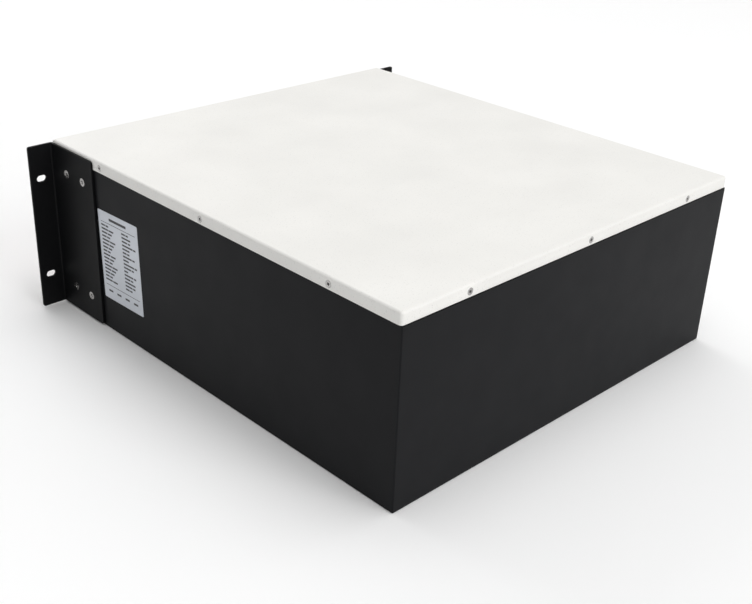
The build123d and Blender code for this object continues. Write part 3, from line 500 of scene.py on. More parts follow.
def printing_ink(name, colour):
    """Screen-printed ink, slightly uneven in density."""
    finish = Finish(name)
    finish.set(Specular_IOR_Level=0.4)
    density = finish.noise(0.0009, detail=3.0)
    finish.colour(finish.ramp(density, shade(colour, 0.85), shade(colour, 1.25)))
    return finish.roughness(finish.span(density, 0.4, 0.55)).material


def circuit_board_finish(colour):
    """Green solder mask over tracks that run both ways, with tinned pads."""
    finish = Finish("board_green")
    finish.set(Specular_IOR_Level=0.5, Coat_Weight=0.4, Coat_Roughness=0.2)
    tracks = finish.cells(0.004, place=finish.stretched((1, 1, 0.25)))
    across = finish.cells(0.004, place=finish.stretched((0.25, 1, 1)))
    lanes = finish.mix(finish.span(tracks, 1, 0, 0.1, 0.16), colour, shade(colour, 1.8))
    both = finish.mix(finish.span(across, 1, 0, 0.1, 0.16), lanes, shade(colour, 1.5))
    pads = finish.span(finish.cells(0.0063), 1, 0, 0.16, 0.18)
    finish.colour(finish.mix(pads, both, (0.62, 0.62, 0.58)))
    finish.roughness(finish.span(pads, 0.35, 0.5, 0, 1))
    return finish.bump(tracks, 0.00003).material


def laminate_finish(colour):
    """Woven glass-fibre laminate seen through its resin."""
    finish = Finish("laminate")
    finish.set(Coat_Weight=0.2, Coat_Roughness=0.3)
    weave = finish.cells(0.0011, place=finish.stretched((1, 1, 1), (0, 0, math.radians(45))))
    finish.colour(finish.ramp(weave, shade(colour, 1.1), shade(colour, 0.8), 0.2, 0.9))
    finish.roughness(finish.span(finish.noise(0.01), 0.4, 0.55))
    return finish.bump(weave, 0.00002).material


def cell_wrap_finish(colour):
    """Blue heat-shrunk film over an aluminium can: glossy, with a few tight wrinkles."""
    finish = Finish("cell_wrap")
    finish.set(Metallic=0.35, Coat_Weight=0.7, Coat_Roughness=0.12)
    finish.colour(finish.ramp(finish.noise(0.05), shade(colour, 0.9), shade(colour, 1.1)))
    finish.roughness(finish.span(finish.noise(0.01), 0.28, 0.42))
    wrinkles = finish.noise(0.018, detail=3.0, place=finish.stretched((1, 1, 4)))
    return finish.bump(wrinkles, 0.0004).material


def clear_finish(name, colour, roughness, see_through=0.9, bending=1.49):
    """Clear or smoked plastic or glass, with a lower refractive index where it is coated."""
    finish = Finish(name)
    finish.set(Transmission_Weight=see_through, IOR=bending)
    finish.colour(finish.ramp(finish.noise(0.03), shade(colour, 0.97), colour))
    return finish.roughness(finish.span(finish.noise(0.012), roughness, roughness + 0.05)).material


def floor_finish(colour):
    """Plain pale matt floor."""
    finish = Finish("stage_floor")
    finish.colour(finish.ramp(finish.noise(0.6), shade(colour, 0.995), colour))
    return finish.roughness(finish.span(finish.noise(0.2), 0.85, 0.92)).material


# ---- Settings that a user may change


def length(name, millimetres, description):
    """A length setting, given in millimetres and kept in metres."""
    return FloatProperty(
        name=name,
        description=description,
        default=millimetres * MM,
        min=0.0,
        precision=5,
        unit="LENGTH",
    )


def tint(name, colour, description):
    """A colour setting, in linear red, green and blue."""
    return FloatVectorProperty(
        name=name, description=description, default=colour, size=3, min=0, max=1, subtype="COLOR"
    )


class CaseSettings(bpy.types.PropertyGroup):
    """Sheets, bends and paints of the case, its cover, its panel and its ears."""

    case_paint: tint("Case paint", (0.0080, 0.0083, 0.0095), "Dark grey powder paint of the tray")
    cover_paint: tint("Cover paint", (0.83, 0.82, 0.79), "Warm white powder paint")
    ear_paint: tint("Ear paint", (0.0062, 0.0064, 0.0070), "Black powder paint of the rack ears")
    peel: length("Orange peel", 0.022, "Depth of the paint's fine waves")
    sheet: length("Tray sheet", 1.5, "Thickness of the tray's steel")
    bend: length("Tray bend", 1.2, "Outside radius of the tray's bends")
    shoulder: length("Shoulder height", 162.4, "Where the tray's walls step in under the cover")
    rim_step: length("Rim step", 1.0, "How far the rim steps in at the sides")
    rim_rear_step: length("Rear rim step", 2.2, "How far the rim steps in at the rear")
    rim_front_gap: length("Rim front gap", 3.5, "How far behind the panel the rim starts")
    flange: length("Return flange", 12.0, "Width of the flange behind the front panel")
    pad_height: length("Pad height", 0.5, "Height of the raised pads under the ears")
    pad_radius: length("Pad radius", 9.0, "Radius of the raised pads under the ears")
    cover_sheet: length("Cover sheet", 1.2, "Thickness of the cover's steel")
    cover_bend: length("Cover bend", 2.5, "Outside radius of the cover's top edge")
    cover_corner: length("Cover corner", 3.0, "Radius of the cover's corners")
    opening_gap: length("Opening gap", 0.3, "Room round what shows through the front panel")
    panel_corner: length("Panel corner", 1.5, "Radius of the front panel's corners")
    ear_sheet: length("Ear sheet", 2.0, "Thickness of the ears' steel")
    ear_bend: length("Ear bend", 3.5, "Outside radius of the ears' bend")
    ear_corner: length("Ear corner", 2.5, "Radius of the ears' corners")
    slot_length: length("Slot length", 10.0, "Length of the rack slots")
    edge: length("Sheet edge", 0.25, "Rounding of cut edges under the paint")


class FastenerSettings(bpy.types.PropertyGroup):
    """Screws, nuts and studs."""

    plating: tint("Plating", (0.46, 0.45, 0.44), "Dull nickel on the screws")
    zinc: tint("Zinc", (0.58, 0.59, 0.60), "Zinc plating on nuts and pins")
    tin: tint("Tin", (0.70, 0.68, 0.63), "Tinned copper of studs and lugs")
    copper: tint("Copper", (0.72, 0.35, 0.20), "Bare copper of the series links")
    head_edge: length("Head edge", 0.25, "Height of a countersunk head's straight rim")
    clearance: length("Hole clearance", 0.1, "Radial room of a screw in its hole")
    m3: length("M3 thread", 3.0, "Thread of the cover's and panel's screws")
    m3_head: length("M3 head", 6.0, "Head diameter of the cover's and panel's screws")
    m4: length("M4 thread", 4.0, "Thread of the ear screws")
    m4_head: length("M4 head", 8.0, "Head diameter of the ear screws")
    m5: length("M5 thread", 5.0, "Thread of the handle screws")
    spin: FloatProperty(
        name="Recess turn",
        description="How much further each screw's cross is turned than the one before",
        default=math.radians(137.5),
        subtype="ANGLE",
    )


class LabelSettings(bpy.types.PropertyGroup):
    """The rating label, printed with plain bars in place of words."""

    film: tint("Film", (0.60, 0.63, 0.68), "Silver-grey polyester film")
    ink: tint("Ink", (0.035, 0.036, 0.04), "Dark printing ink")
    rows: IntProperty(name="Rows", description="Rows of bars in the table", default=16, min=4, max=30)
    margin: length("Margin", 4.5, "Clear border inside the label's edge")
    corner: length("Corner", 1.5, "Radius of the label's corners")
    turn: FloatProperty(
        name="Turn",
        description="How far out of square the label was stuck on",
        default=math.radians(1.7),
        subtype="ANGLE",
    )
    ink_height: length("Ink height", 0.03, "Thickness of the printed ink")


class FrontSettings(bpy.types.PropertyGroup):
    """Terminals, breaker, handles, keys, display and sockets of the front panel."""

    positive: tint("Positive", (0.62, 0.035, 0.012), "Red plastic of the positive terminals")
    negative: tint("Negative", (0.012, 0.012, 0.013), "Black plastic of the negative terminals")
    breaker: tint("Breaker", (0.58, 0.58, 0.56), "Light grey plastic of the breaker")
    black: tint("Black plastic", (0.010, 0.010, 0.011), "Toggle, sockets and transistors")
    handle: tint("Handle", (0.018, 0.018, 0.020), "Black anodised handles and heatsink")
    button: tint("Button", (0.56, 0.56, 0.57), "Turned stainless steel of the power button")
    key: tint("Key", (0.020, 0.020, 0.023), "Rubber of the menu keys")
    reset: tint("Reset", (0.55, 0.55, 0.53), "Pale plastic of the reset button")
    lamp: tint("Lamp", (0.50, 0.68, 0.56), "Clear, faintly green light guides")
    screen: tint("Screen", (0.020, 0.030, 0.032), "The display while it is off")
    switch: tint("Address switch", (0.015, 0.055, 0.30), "Blue body of the address switch")
    slider: tint("Slider", (0.80, 0.80, 0.77), "White sliders of the address switch")
    wall: length("Hood wall", 2.0, "Wall of the terminal hoods")
    corner: length("Hood corner", 3.0, "Radius of the terminal hoods' corners")
    barrel: length("Hinge barrel", 3.0, "Radius of the hinge barrels")
    pin: length("Hinge pin", 1.25, "Radius of the hinge pins")
    bar: length("Handle bar", 5.0, "Radius of the handles' bar")
    bar_bend: length("Handle bend", 13.0, "Radius of the handles' bends, along the middle of the bar")
    foot: length("Handle foot", 2.5, "Height of the handles' foot discs")
    drum: length("Toggle drum", 10.0, "Radius of the breaker toggle's drum")
    lever: length("Toggle lever", 20.0, "Reach of the toggle's lever from its axis")
    edge: length("Moulded edge", 0.35, "Rounding of moulded edges")
    mark_reach: length("Mark reach", 7.0, "Half the length of a pole mark's bars")
    mark_half: length("Mark half width", 1.5, "Half the width of a pole mark's bars")
    mark_lift: length("Mark lift", 3.0, "How far above the studs a pole mark sits")
    mark_proud: length("Mark height", 0.3, "How far a pole mark stands off its hood")


class InsideSettings(bpy.types.PropertyGroup):
    """Cells, boards, straps and cables inside the case."""

    wrap: tint("Cell wrap", (0.010, 0.050, 0.20), "Blue film round the cells")
    laminate: tint("Laminate", (0.30, 0.38, 0.16), "Glass-fibre spacers")
    solder_mask: tint("Solder mask", (0.006, 0.055, 0.022), "Green circuit boards")
    pad: tint("Pad", (0.025, 0.025, 0.026), "Cellular rubber under the cells")
    strap: tint("Strap", (0.50, 0.51, 0.52), "Galvanised straps and bracket")
    plate: tint("Plate", (0.66, 0.67, 0.68), "Milled aluminium plates and posts")
    sheet: tint("Sheet", (0.72, 0.75, 0.75), "Translucent insulation sheet")
    cable: tint("Cable", (0.012, 0.012, 0.012), "Black silicone power cables")
    harness: tint("Harness", (0.62, 0.62, 0.58), "White sense harness")


class StageSettings(bpy.types.PropertyGroup):
    """Floor, lights and camera."""

    floor: tint("Floor", (0.97, 0.97, 0.97), "Pale studio floor")
    air: tint("Surroundings", (1.0, 1.0, 1.0), "Soft light from all round")
    air_strength: FloatProperty(
        name="Surround strength", description="How bright the surroundings are", default=0.62
    )
    dim_strength: FloatProperty(
        name="Dim strength", description="How bright they are towards the right", default=0.30
    )
    fade_start: FloatProperty(name="Fade start", description="Where they start to dim", default=-0.2)
    fade_end: FloatProperty(name="Fade end", description="Where they are dimmest", default=0.6)
    floor_size: length("Floor size", 60000.0, "Width of the floor")
    camera_place: FloatVectorProperty(
        name="Camera place",
        description="Where the camera stands",
        default=(0.7254, 0.7163, 0.5342),
        subtype="TRANSLATION",
    )
    camera_forward: FloatVectorProperty(
        name="Camera direction",
        description="Which way the camera looks",
        default=(-0.633, -0.630, -0.451),
        subtype="DIRECTION",
    )
    camera_up: FloatVectorProperty(
        name="Camera up",
        description="Which way is up in the picture",
        default=(-0.290, -0.347, 0.892),
        subtype="DIRECTION",
    )
    lens: FloatProperty(
        name="Lens", description="Focal length in millimetres", default=53.96, min=10
    )


# ---- Case, cover, panel and ears


def screw_places(node, axis=None):
    """Each screw's head centre and the way its head faces, from the CAD node's separate solids."""
    places = []
    for low, high in islands(node):
        size = high - low
        along = max(range(3), key=lambda index: size[index]) if axis is None else axis
        centre = (low + high) / 2
        outward = Vector([0, 0, 0])
        outward[along] = math.copysign(1, centre[along])
        head = centre.copy()
        head[along] = high[along] if centre[along] > 0 else low[along]
        places.append((head, outward))
    return places


def turned(name, start, direction, outline, sides=40):
    """A turned solid: a disc is extruded along the direction and scaled at each step of the outline.

    The outline's steps are (distance from the start, radius), and no radius is zero.
    """
    start, direction = Vector(start), Vector(direction).normalized()
    distance, radius = outline[0]
    deselect()
    bpy.ops.mesh.primitive_circle_add(
        vertices=sides,
        radius=radius,
        fill_type="NGON",
        location=start + direction * distance,
        rotation=direction.to_track_quat("Z", "Y").to_euler(),
    )
    piece = new_piece(name)
    edit(piece)
    for next_distance, next_radius in outline[1:]:
        step = direction * (next_distance - distance)
        bpy.ops.mesh.extrude_region_move(TRANSFORM_OT_translate={"value": step})
        centre = start + direction * next_distance
        bpy.ops.transform.resize(value=(next_radius / radius,) * 3, center_override=centre)
        distance, radius = next_distance, next_radius
    bpy.ops.mesh.select_all(action="SELECT")
    bpy.ops.mesh.normals_make_consistent(inside=False)
    return done()


def countersunk(name, place, outward, thread, head, fasteners, depth, room=0.0):
    """A countersunk screw's shape, or with some room the hole that it needs."""
    edge = fasteners.head_edge
    over = 2 * MM if room else 0.0
    rim = 0.12 * MM if not room else 0.0
    head_radius, thread_radius = head / 2 + room, thread / 2 + room
    outline = [
        (-over, head_radius - rim),
        (rim, head_radius),
        (edge, head_radius),
        (edge + (head - thread) / 2, thread_radius),
        (depth, thread_radius),
    ]
    return turned(name, place, -outward, outline)


def screw_holes(node, thread, head, fasteners, depth, wanted=lambda place: True, axis=None):
    """Cutters for the countersunk holes of a node's screws."""
    return [
        countersunk("hole", place, outward, thread, head, fasteners, depth, fasteners.clearance)
        for place, outward in screw_places(node, axis)
        if wanted(place)
    ]


def lip_screw(place):
    """True for the panel screws that go into the cover's front skirt."""
    cover_low, cover_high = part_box("top_cover")
    return place.z > cover_low.z and abs(place.x) < cover_high.x / 2


def build_tray(case, fasteners):
    """The folded tray: floor, walls, stepped rim and front return flange."""
    low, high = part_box("chassis_tray")
    half = high.x - case.pad_height
    front, rear, rim_top = low.y, high.y, high.z
    depth = rear - front
    tray = block("case_tray", (-half, front, low.z), (half, rear, case.shoulder))

    def bends(start, end):
        middle = (start + end) / 2
        return middle.y > front + case.sheet and middle.z < case.shoulder - case.sheet

    round_edges(tray, bends, case.bend)
    remove_faces(tray, facing(Z))
    remove_faces(tray, lambda centre, normal: normal.y < -0.9)

    at_top = lambda start, end: min(start.z, end.z) > case.shoulder - HAIR
    edit(tray, "EDGE", at_top)
    bpy.ops.mesh.extrude_edges_move(TRANSFORM_OT_translate={"value": (0, 0, 0)})
    bpy.ops.transform.resize(
        value=((half - case.rim_step) / half, (depth - case.rim_rear_step) / depth, 1),
        center_override=(0, front, case.shoulder),
    )
    rise = (0, 0, rim_top - case.shoulder)
    bpy.ops.mesh.extrude_edges_move(TRANSFORM_OT_translate={"value": rise})
    done()

    def at_front(start, end):
        return max(start.y, end.y) < front + HAIR and max(start.z, end.z) < case.shoulder + HAIR

    def front_wall(start, end):
        across = abs(abs(start.x) - abs(end.x)) > case.rim_step / 2 and start.z > case.bend
        return at_front(start, end) and not across

    edit(tray, "EDGE", front_wall)
    bpy.ops.mesh.extrude_edges_move(TRANSFORM_OT_translate={"value": (0, 0, 0)})
    bpy.ops.transform.resize(
        value=((half - case.flange) / half, 1, (case.shoulder - case.flange) / case.shoulder),
        center_override=(0, front, case.shoulder),
    )
    bpy.ops.mesh.select_all(action="SELECT")
    bpy.ops.mesh.remove_doubles(threshold=0.001 * MM)
    bpy.ops.mesh.normals_make_consistent(inside=False)
    done()
    sheet_of(tray, case.sheet)

    pads = []
    for place, outward in screw_places("ear_screws", 0):
        surface = Vector((outward.x * half, place.y, place.z))
        pads.append(
            post(
                "pad",
                surface - outward * case.pad_height,
                surface + outward * case.pad_height,
                case.pad_radius,
            )
        )
    cut(tray, pads, "UNION")
    over = OVER
    holes = screw_holes("cover_screws", fasteners.m3, fasteners.m3_head, fasteners, over)
    holes += screw_holes("ear_screws", fasteners.m4, fasteners.m4_head, fasteners, over, axis=0)
    holes += screw_holes(
        "panel_screws", fasteners.m3, fasteners.m3_head, fasteners, over, lambda place: not lip_screw(place)
    )
    rim_start = front + case.rim_front_gap
    holes.append(
        block("gap", (-half, front - over, case.shoulder + 0.2 * MM), (half, rim_start, rim_top + over))
    )
    cut(tray, holes)
    return smooth(ease_edges(tray, case.edge), 30)


def build_cover(case, fasteners):
    """The shallow white pan that closes the case, its skirt outside the tray's rim."""
    low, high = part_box("top_cover")
    cover = block("cover_pan", low, high)
    round_edges(cover, edge_along(Z), case.cover_corner, 6)
    round_edges(cover, lambda start, end: min(start.z, end.z) > high.z - HAIR, case.cover_bend, 6)
    remove_faces(cover, facing(-Z))
    sheet_of(cover, case.cover_sheet)
    depth = OVER
    holes = screw_holes("cover_screws", fasteners.m3, fasteners.m3_head, fasteners, depth)
    holes += screw_holes("panel_screws", fasteners.m3, fasteners.m3_head, fasteners, depth, lip_screw)
    cut(cover, holes)
    return smooth(ease_edges(cover, case.edge * 0.8), 30)


def opening(box, front, rear, gap):
    """A cutter for the rectangular opening that a box shows through."""
    low, high = box
    return block("opening", (low.x - gap, front, low.z - gap), (high.x + gap, rear, high.z + gap))


def build_panel(case, fasteners):
    """The white front panel: one flat plate with an opening for each fitting."""
    low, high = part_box("front_panel")
    panel = block("front_plate", low, high)
    round_edges(panel, edge_along(Y), case.panel_corner, 4)
    front, rear = low.y - OVER, high.y + OVER
    gap = case.opening_gap
    boxes = [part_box(node) for node in ("display_window", "address_switch_body", "network_sockets")]
    boxes += [breaker_nose(), terminal_boss("negative"), terminal_boss("positive")]
    cutters = [opening(box, front, rear, gap) for box in boxes]
    housing_wall = 2.4 * MM
    round_nodes = [("power_button", housing_wall), ("reset_button", 0)]
    round_nodes += [(f"menu_key_{number}", 0) for number in range(1, 5)]
    for node, wall in round_nodes:
        place, radius = front_round(node)
        radius += gap + wall
        cutters.append(post("opening", (place.x, front, place.z), (place.x, rear, place.z), radius, 48))
    for low_led, high_led in islands("status_leds"):
        middle = (low_led + high_led) / 2
        radius = (high_led.x - low_led.x) / 2 + fasteners.clearance
        cutters.append(post("opening", (middle.x, front, middle.z), (middle.x, rear, middle.z), radius))
    earth = MOUNTS["earth_stud_end"]
    shanks = [(Vector(earth["pos_m"]), earth["dims"]["r_mm"] * MM)]
    shanks += [(foot, fasteners.m5 / 2) for foot in handle_feet()]
    for place, radius in shanks:
        radius += fasteners.clearance
        cutters.append(post("opening", (place.x, front, place.z), (place.x, rear, place.z), radius))
    cutters += screw_holes("panel_screws", fasteners.m3, fasteners.m3_head, fasteners, OVER)
    cut(panel, cutters)
    return smooth(ease_edges(panel, case.edge), 30)


def build_ear(side, node, case, fasteners):
    """One rack ear: a plate on the case's side, bent out into a slotted flange."""
    low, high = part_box(node)
    inner = low.x if side > 0 else high.x
    tip = high.x if side > 0 else low.x
    outer = inner + side * case.ear_sheet
    front, behind = low.y, low.y + case.ear_sheet
    ear = block(node + "_bent", (min(inner, outer), behind, low.z), (max(inner, outer), high.y, high.z))
    pull_faces(ear, facing(-Y), (0, -case.ear_sheet, 0))
    out = lambda centre, normal: normal.x * side > 0.9 and centre.y < behind
    pull_faces(ear, out, (tip - outer, 0, 0))
    round_edges(ear, edge_along(Z, (inner, front, 0)), case.ear_bend, 8)
    round_edges(ear, edge_along(Z, (outer, behind, 0)), case.ear_bend - case.ear_sheet, 5)
    far = lambda start, end: edge_along(X)(start, end) and start.y > high.y - HAIR
    round_edges(ear, far, case.ear_corner, 6)
    ends = lambda start, end: edge_along(Y)(start, end) and abs(start.x - tip) < HAIR
    round_edges(ear, ends, case.ear_corner * 0.8, 6)
    cutters = screw_holes(
        "ear_screws", fasteners.m4, fasteners.m4_head, fasteners, 6 * MM, lambda place: place.x * side > 0, 0
    )
    slots = MOUNTS["rack_slots"]
    radius = slots["dims"]["hole_r_mm"] * MM
    middle_x = side * slots["dims"]["spacing_x_mm"] / 2 * MM
    travel = case.slot_length / 2 - radius
    over = OVER
    for step in (-1, 1):
        z = slots["pos_m"][2] + step * slots["dims"]["spacing_y_mm"] / 2 * MM
        slot = block(
            "slot",
            (middle_x - travel, front - over, z - radius),
            (middle_x + travel, behind + over, z + radius),
        )
        ends = [
            post(
                "slot_end",
                (middle_x + end * travel, front - over, z),
                (middle_x + end * travel, behind + over, z),
                radius,
            )
            for end in (-1, 1)
        ]
        cutters.append(cut(slot, ends, "UNION"))
    cut(ear, cutters)
    return smooth(ease_edges(ear, case.edge), 30)


# ---- Screws


def screw_model(name, thread, head, depth, fasteners):
    """A countersunk screw with a tapered cross recess, its head's face at the origin, facing up."""
    screw = countersunk(name, (0, 0, 0), Z, thread, head, fasteners, depth)
    reach, width, sink = 0.3 * head, 0.08 * head, 0.34 * head
    cutters = []
    for long_x in (True, False):
        across = (reach, width) if long_x else (width, reach)
        wing = block("wing", (-across[0], -across[1], -sink), (across[0], across[1], sink))
        edit(wing, "FACE", facing(-Z))
        bpy.ops.transform.resize(value=(0.55 if long_x else 0.8, 0.8 if long_x else 0.55, 1))
        done()
        cutters.append(wing)
    cutters.append(
        turned("cone", (0, 0, 0.1 * MM), -Z, [(0, 0.19 * head), (sink + 0.35 * MM, 0.05 * head)], 24)
    )
    cut(screw, [cut(cutters[0], cutters[1:], "UNION")])
    return smooth(screw, 30)


def place_screws(name, node, thread, head, fasteners, material, axis=None):
    """Copy a screw to each of a node's places, each cross turned a little further than the last."""
    depth = 8 * MM
    model = screw_model("screw_model", thread, head, depth, fasteners)
    screws = []
    for number, (place, outward) in enumerate(screw_places(node, axis)):
        aim = outward.to_track_quat("Z", "Y").to_matrix().to_4x4()
        turn = Matrix.Rotation(fasteners.spin * number, 4, Z)
        screws.append(copy_to(model, Matrix.Translation(place) @ aim @ turn, "screw"))
    discard(model)
    return hand_over(join(screws, name), material, [node])


# ---- Rating label


def build_label(label):
    """The film and its printing, made flat and then turned and stuck on the side wall."""
    low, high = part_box("rating_label")
    centre = (low + high) / 2
    thickness = high.x - low.x
    cosine, sine = math.cos(label.turn), math.sin(label.turn)
    span_y, span_z = high.y - low.y, high.z - low.z
    spread = cosine * cosine - sine * sine
    width = (span_y * cosine - span_z * sine) / spread
    height = (span_z * cosine - span_y * sine) / spread
    film = block("label_film", (0, -width / 2, -height / 2), (thickness, width / 2, height / 2))
    round_edges(film, edge_along(X), label.corner, 6)
    ease_edges(film, thickness / 4, 1)

    bars = []

    def bar(y, z, long, tall):
        bars.append(block("bar", (thickness, y, z - tall), (thickness + label.ink_height, y + long, z)))

    left, right = -width / 2 + label.margin, width / 2 - label.margin
    top, foot = height / 2 - label.margin, -height / 2 + label.margin
    inner = right - left
    bar(left + 0.25 * inner, top - 0.6 * MM, 0.5 * inner, 2.6 * MM)
    bar(left, top - 6.2 * MM, inner, 0.55 * MM)
    bar(left, foot + 10.5 * MM, inner, 0.55 * MM)
    table_top, table_foot = top - 9 * MM, foot + 13 * MM
    pitch = (table_top - table_foot) / label.rows
    tall = 0.46 * pitch
    for row in range(label.rows):
        z = table_top - row * pitch
        first = (0.20 + 0.17 * ((row * 5) % 7) / 6) * inner
        second = (0.14 + 0.24 * ((row * 3) % 5) / 4) * inner
        bar(left, z, first * 0.58, tall)
        bar(left + first * 0.58 + 0.9 * MM, z, first * 0.42, tall)
        bar(left + 0.60 * inner, z, second * 0.8, tall)
        if row % 3 != 1:
            bar(left + 0.60 * inner + second * 0.8 + 0.9 * MM, z, 0.07 * inner, tall)

    foot_bars = 4
    foot_pitch = inner / foot_bars
    for number in range(foot_bars):
        bar(left + (number + 0.25) * foot_pitch, foot + 5.5 * MM, 0.5 * foot_pitch, 2 * MM)
    pieces = {"label_sheet": film, "label_print": join(bars, "label_print")}
    stick = Matrix.Translation((low.x, centre.y, centre.z)) @ Matrix.Rotation(label.turn, 4, "X")
    for name, piece in pieces.items():
        piece.name = name
        piece.data.transform(stick)
    return pieces


# ---- Front fittings


def terminal_boss(pole):
    """The box of a terminal's boss, where it goes through the panel: the base's rearmost part."""
    node = NODES[f"terminal_base_{pole}"]
    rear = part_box(node.name)[1].y
    return box_of([vertex.co for vertex in node.data.vertices if vertex.co.y > rear - HAIR])


def breaker_nose():
    """The box of the breaker's nose, from the body's front shoulder to the nose's face."""
    node = NODES["breaker_body"]
    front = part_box(node.name)[0].y
    return box_of([vertex.co for vertex in node.data.vertices if vertex.co.y < front + HAIR])


def front_round(node):
    """Where a round fitting's axis meets its front face, and its radius there."""
    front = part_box(node)[0].y
    head = 1.5 * MM
    low, high = box_of([vertex.co for vertex in NODES[node].data.vertices if vertex.co.y < front + head])
    middle = (low + high) / 2
    return Vector((middle.x, front, middle.z)), (high.x - low.x) / 2


def handle_feet():
    """The middle of each handle foot, on the panel's face."""
    feet = []
    for low, high in islands("handle_screws"):
        feet.append(Vector(((low.x + high.x) / 2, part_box("front_panel")[0].y, (low.z + high.z) / 2)))
    return feet


def bow_handle(node, front):
    """A round bar bent twice, on two foot discs."""
    low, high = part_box(node)
    feet = sorted((foot for foot in handle_feet() if low.x < foot.x < high.x), key=lambda foot: foot.z)
    lower, upper = feet
    reach = lower.y - low.y - front.bar
    straight = reach - front.bar_bend
    deselect()
    bpy.ops.mesh.primitive_circle_add(
        vertices=32, radius=front.bar, fill_type="NGON", location=lower, rotation=(math.pi / 2, 0, 0)
    )
    bow = new_piece(node + "_bow")
    edit(bow)
    bpy.ops.mesh.extrude_region_move(TRANSFORM_OT_translate={"value": (0, -straight, 0)})
    bend_centre = Vector((lower.x, lower.y - straight, lower.z + front.bar_bend))
    bpy.ops.mesh.spin(steps=12, angle=math.pi / 2, center=bend_centre, axis=(1, 0, 0))
    grip = upper.z - lower.z - 2 * front.bar_bend
    bpy.ops.mesh.extrude_region_move(TRANSFORM_OT_translate={"value": (0, 0, grip)})
    bend_centre.z = upper.z - front.bar_bend
    bpy.ops.mesh.spin(steps=12, angle=math.pi / 2, center=bend_centre, axis=(1, 0, 0))
    bpy.ops.mesh.extrude_region_move(TRANSFORM_OT_translate={"value": (0, straight, 0)})
    bpy.ops.mesh.select_all(action="SELECT")
    bpy.ops.mesh.normals_make_consistent(inside=False)
    done()
    foot_radius = (high.x - low.x) / 2
    outline = [(0, foot_radius), (front.foot * 0.7, foot_radius), (front.foot, foot_radius - 0.7 * MM)]
    feet_discs = [turned("foot", foot, -Y, outline) for foot in (lower, upper)]
    return smooth(join([bow, *feet_discs], node + "_bow"), 40)


def terminal_base(pole, front):
    """A terminal's moulded base: plate, boss, divider, hinge lugs and two bores."""
    node = f"terminal_base_{pole}"
    low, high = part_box(node)
    hinge = Vector(JOINTS[f"terminal_cover_{pole}_hinge"]["pos_m"])
    studs = [Vector(MOUNTS[f"{pole}_stud_{side}"]["pos_m"]) for side in ("left", "right")]
    middle_z = studs[0].z
    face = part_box("front_panel")[0].y
    boss_low, boss_high = terminal_boss(pole)
    half_height = middle_z - low.z
    plate_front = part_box("terminal_nuts")[1].y
    plate = block(node + "_moulding", (low.x, plate_front, low.z), (high.x, face, middle_z + half_height))
    round_edges(plate, edge_along(Y), front.corner, 5)
    middle_x = (low.x + high.x) / 2
    rib_half, rib_height = MM, 14 * MM
    parts = [
        block("boss", (boss_low.x, face - MM, boss_low.z), (boss_high.x, high.y, boss_high.z)),
        block(
            "rib",
            (middle_x - rib_half, low.y, middle_z - rib_height),
            (middle_x + rib_half, face - MM, middle_z + rib_height),
        ),
    ]
    lug_start, lug_end, web_margin, web_foot = 33 * MM, 39 * MM, 0.5 * MM, 10 * MM
    for side in (-1, 1):
        near, far = middle_x + side * lug_start, middle_x + side * lug_end
        parts.append(post("lug", (near, hinge.y, hinge.z), (far, hinge.y, hinge.z), front.barrel, 32))
        parts.append(
            block(
                "web",
                (min(near, far), hinge.y - front.barrel + web_margin, middle_z + web_foot),
                (max(near, far), hinge.y + front.barrel - web_margin, hinge.z),
            )
        )
    cut(plate, parts, "UNION")
    cutters = [post("bore", (low.x, hinge.y, hinge.z), (high.x, hinge.y, hinge.z), front.pin, 24)]
    for stud in studs:
        radius = MOUNTS[f"{pole}_stud_left"]["dims"]["r_mm"] * MM
        cutters.append(post("bore", (stud.x, low.y, stud.z), (stud.x, high.y + MM, stud.z), radius, 40))
    cut(plate, cutters)
    return smooth(ease_edges(plate, front.edge), 30)


def terminal_hood(pole, front):
    """A terminal's flip-up hood, with its hinge barrel and grip ribs."""
    node = f"terminal_cover_{pole}"
    low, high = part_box(node)
    hinge = Vector(JOINTS[node + "_hinge"]["pos_m"])
    stud_z = MOUNTS[f"{pole}_stud_left"]["pos_m"][2]
    top = stud_z + (stud_z - low.z)
    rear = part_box("terminal_nuts")[1].y - 0.6 * MM
    hood = block(node + "_hood", (low.x, low.y, low.z), (high.x, rear, top))
    corners = lambda start, end: edge_along(Y)(start, end) and start.z > stud_z
    round_edges(hood, corners, front.corner, 6)

    def round_face(start, end):
        return max(start.y, end.y) < low.y + HAIR and max(start.z, end.z) > low.z + MM

    round_edges(hood, round_face, front.corner / 2, 4)
    remove_faces(hood, lambda centre, normal: normal.y > 0.9 or normal.z < -0.9)
    sheet_of(hood, front.wall)
    middle_x = (low.x + high.x) / 2
    barrel_half = 32.5 * MM
    web_low = (middle_x - barrel_half, rear - front.barrel, top - front.wall)
    parts = [
        post(
            "barrel",
            (middle_x - barrel_half, hinge.y, hinge.z),
            (middle_x + barrel_half, hinge.y, hinge.z),
            front.barrel,
            32,
        ),
        block("web", web_low, (middle_x + barrel_half, hinge.y, hinge.z - front.barrel / 2)),
    ]
    raised = 1.0 * MM
    rib_count, rib_pitch, rib_half, rib_foot, rib_top = 5, 5 * MM, 0.8 * MM, 2 * MM, 9 * MM
    for step in range(rib_count):
        x = middle_x + (step - (rib_count - 1) / 2) * rib_pitch
        parts.append(
            block(
                "grip_rib",
                (x - rib_half, low.y - raised, low.z + rib_foot),
                (x + rib_half, low.y + MM, low.z + rib_top),
            )
        )
    cut(hood, parts, "UNION")
    ends = [
        (middle_x - barrel_half - MM, hinge.y, hinge.z), (middle_x + barrel_half + MM, hinge.y, hinge.z)
    ]
    cut(hood, [post("bore", *ends, front.pin + 0.05 * MM, 24)])
    return smooth(ease_edges(hood, front.edge * 0.7), 30)


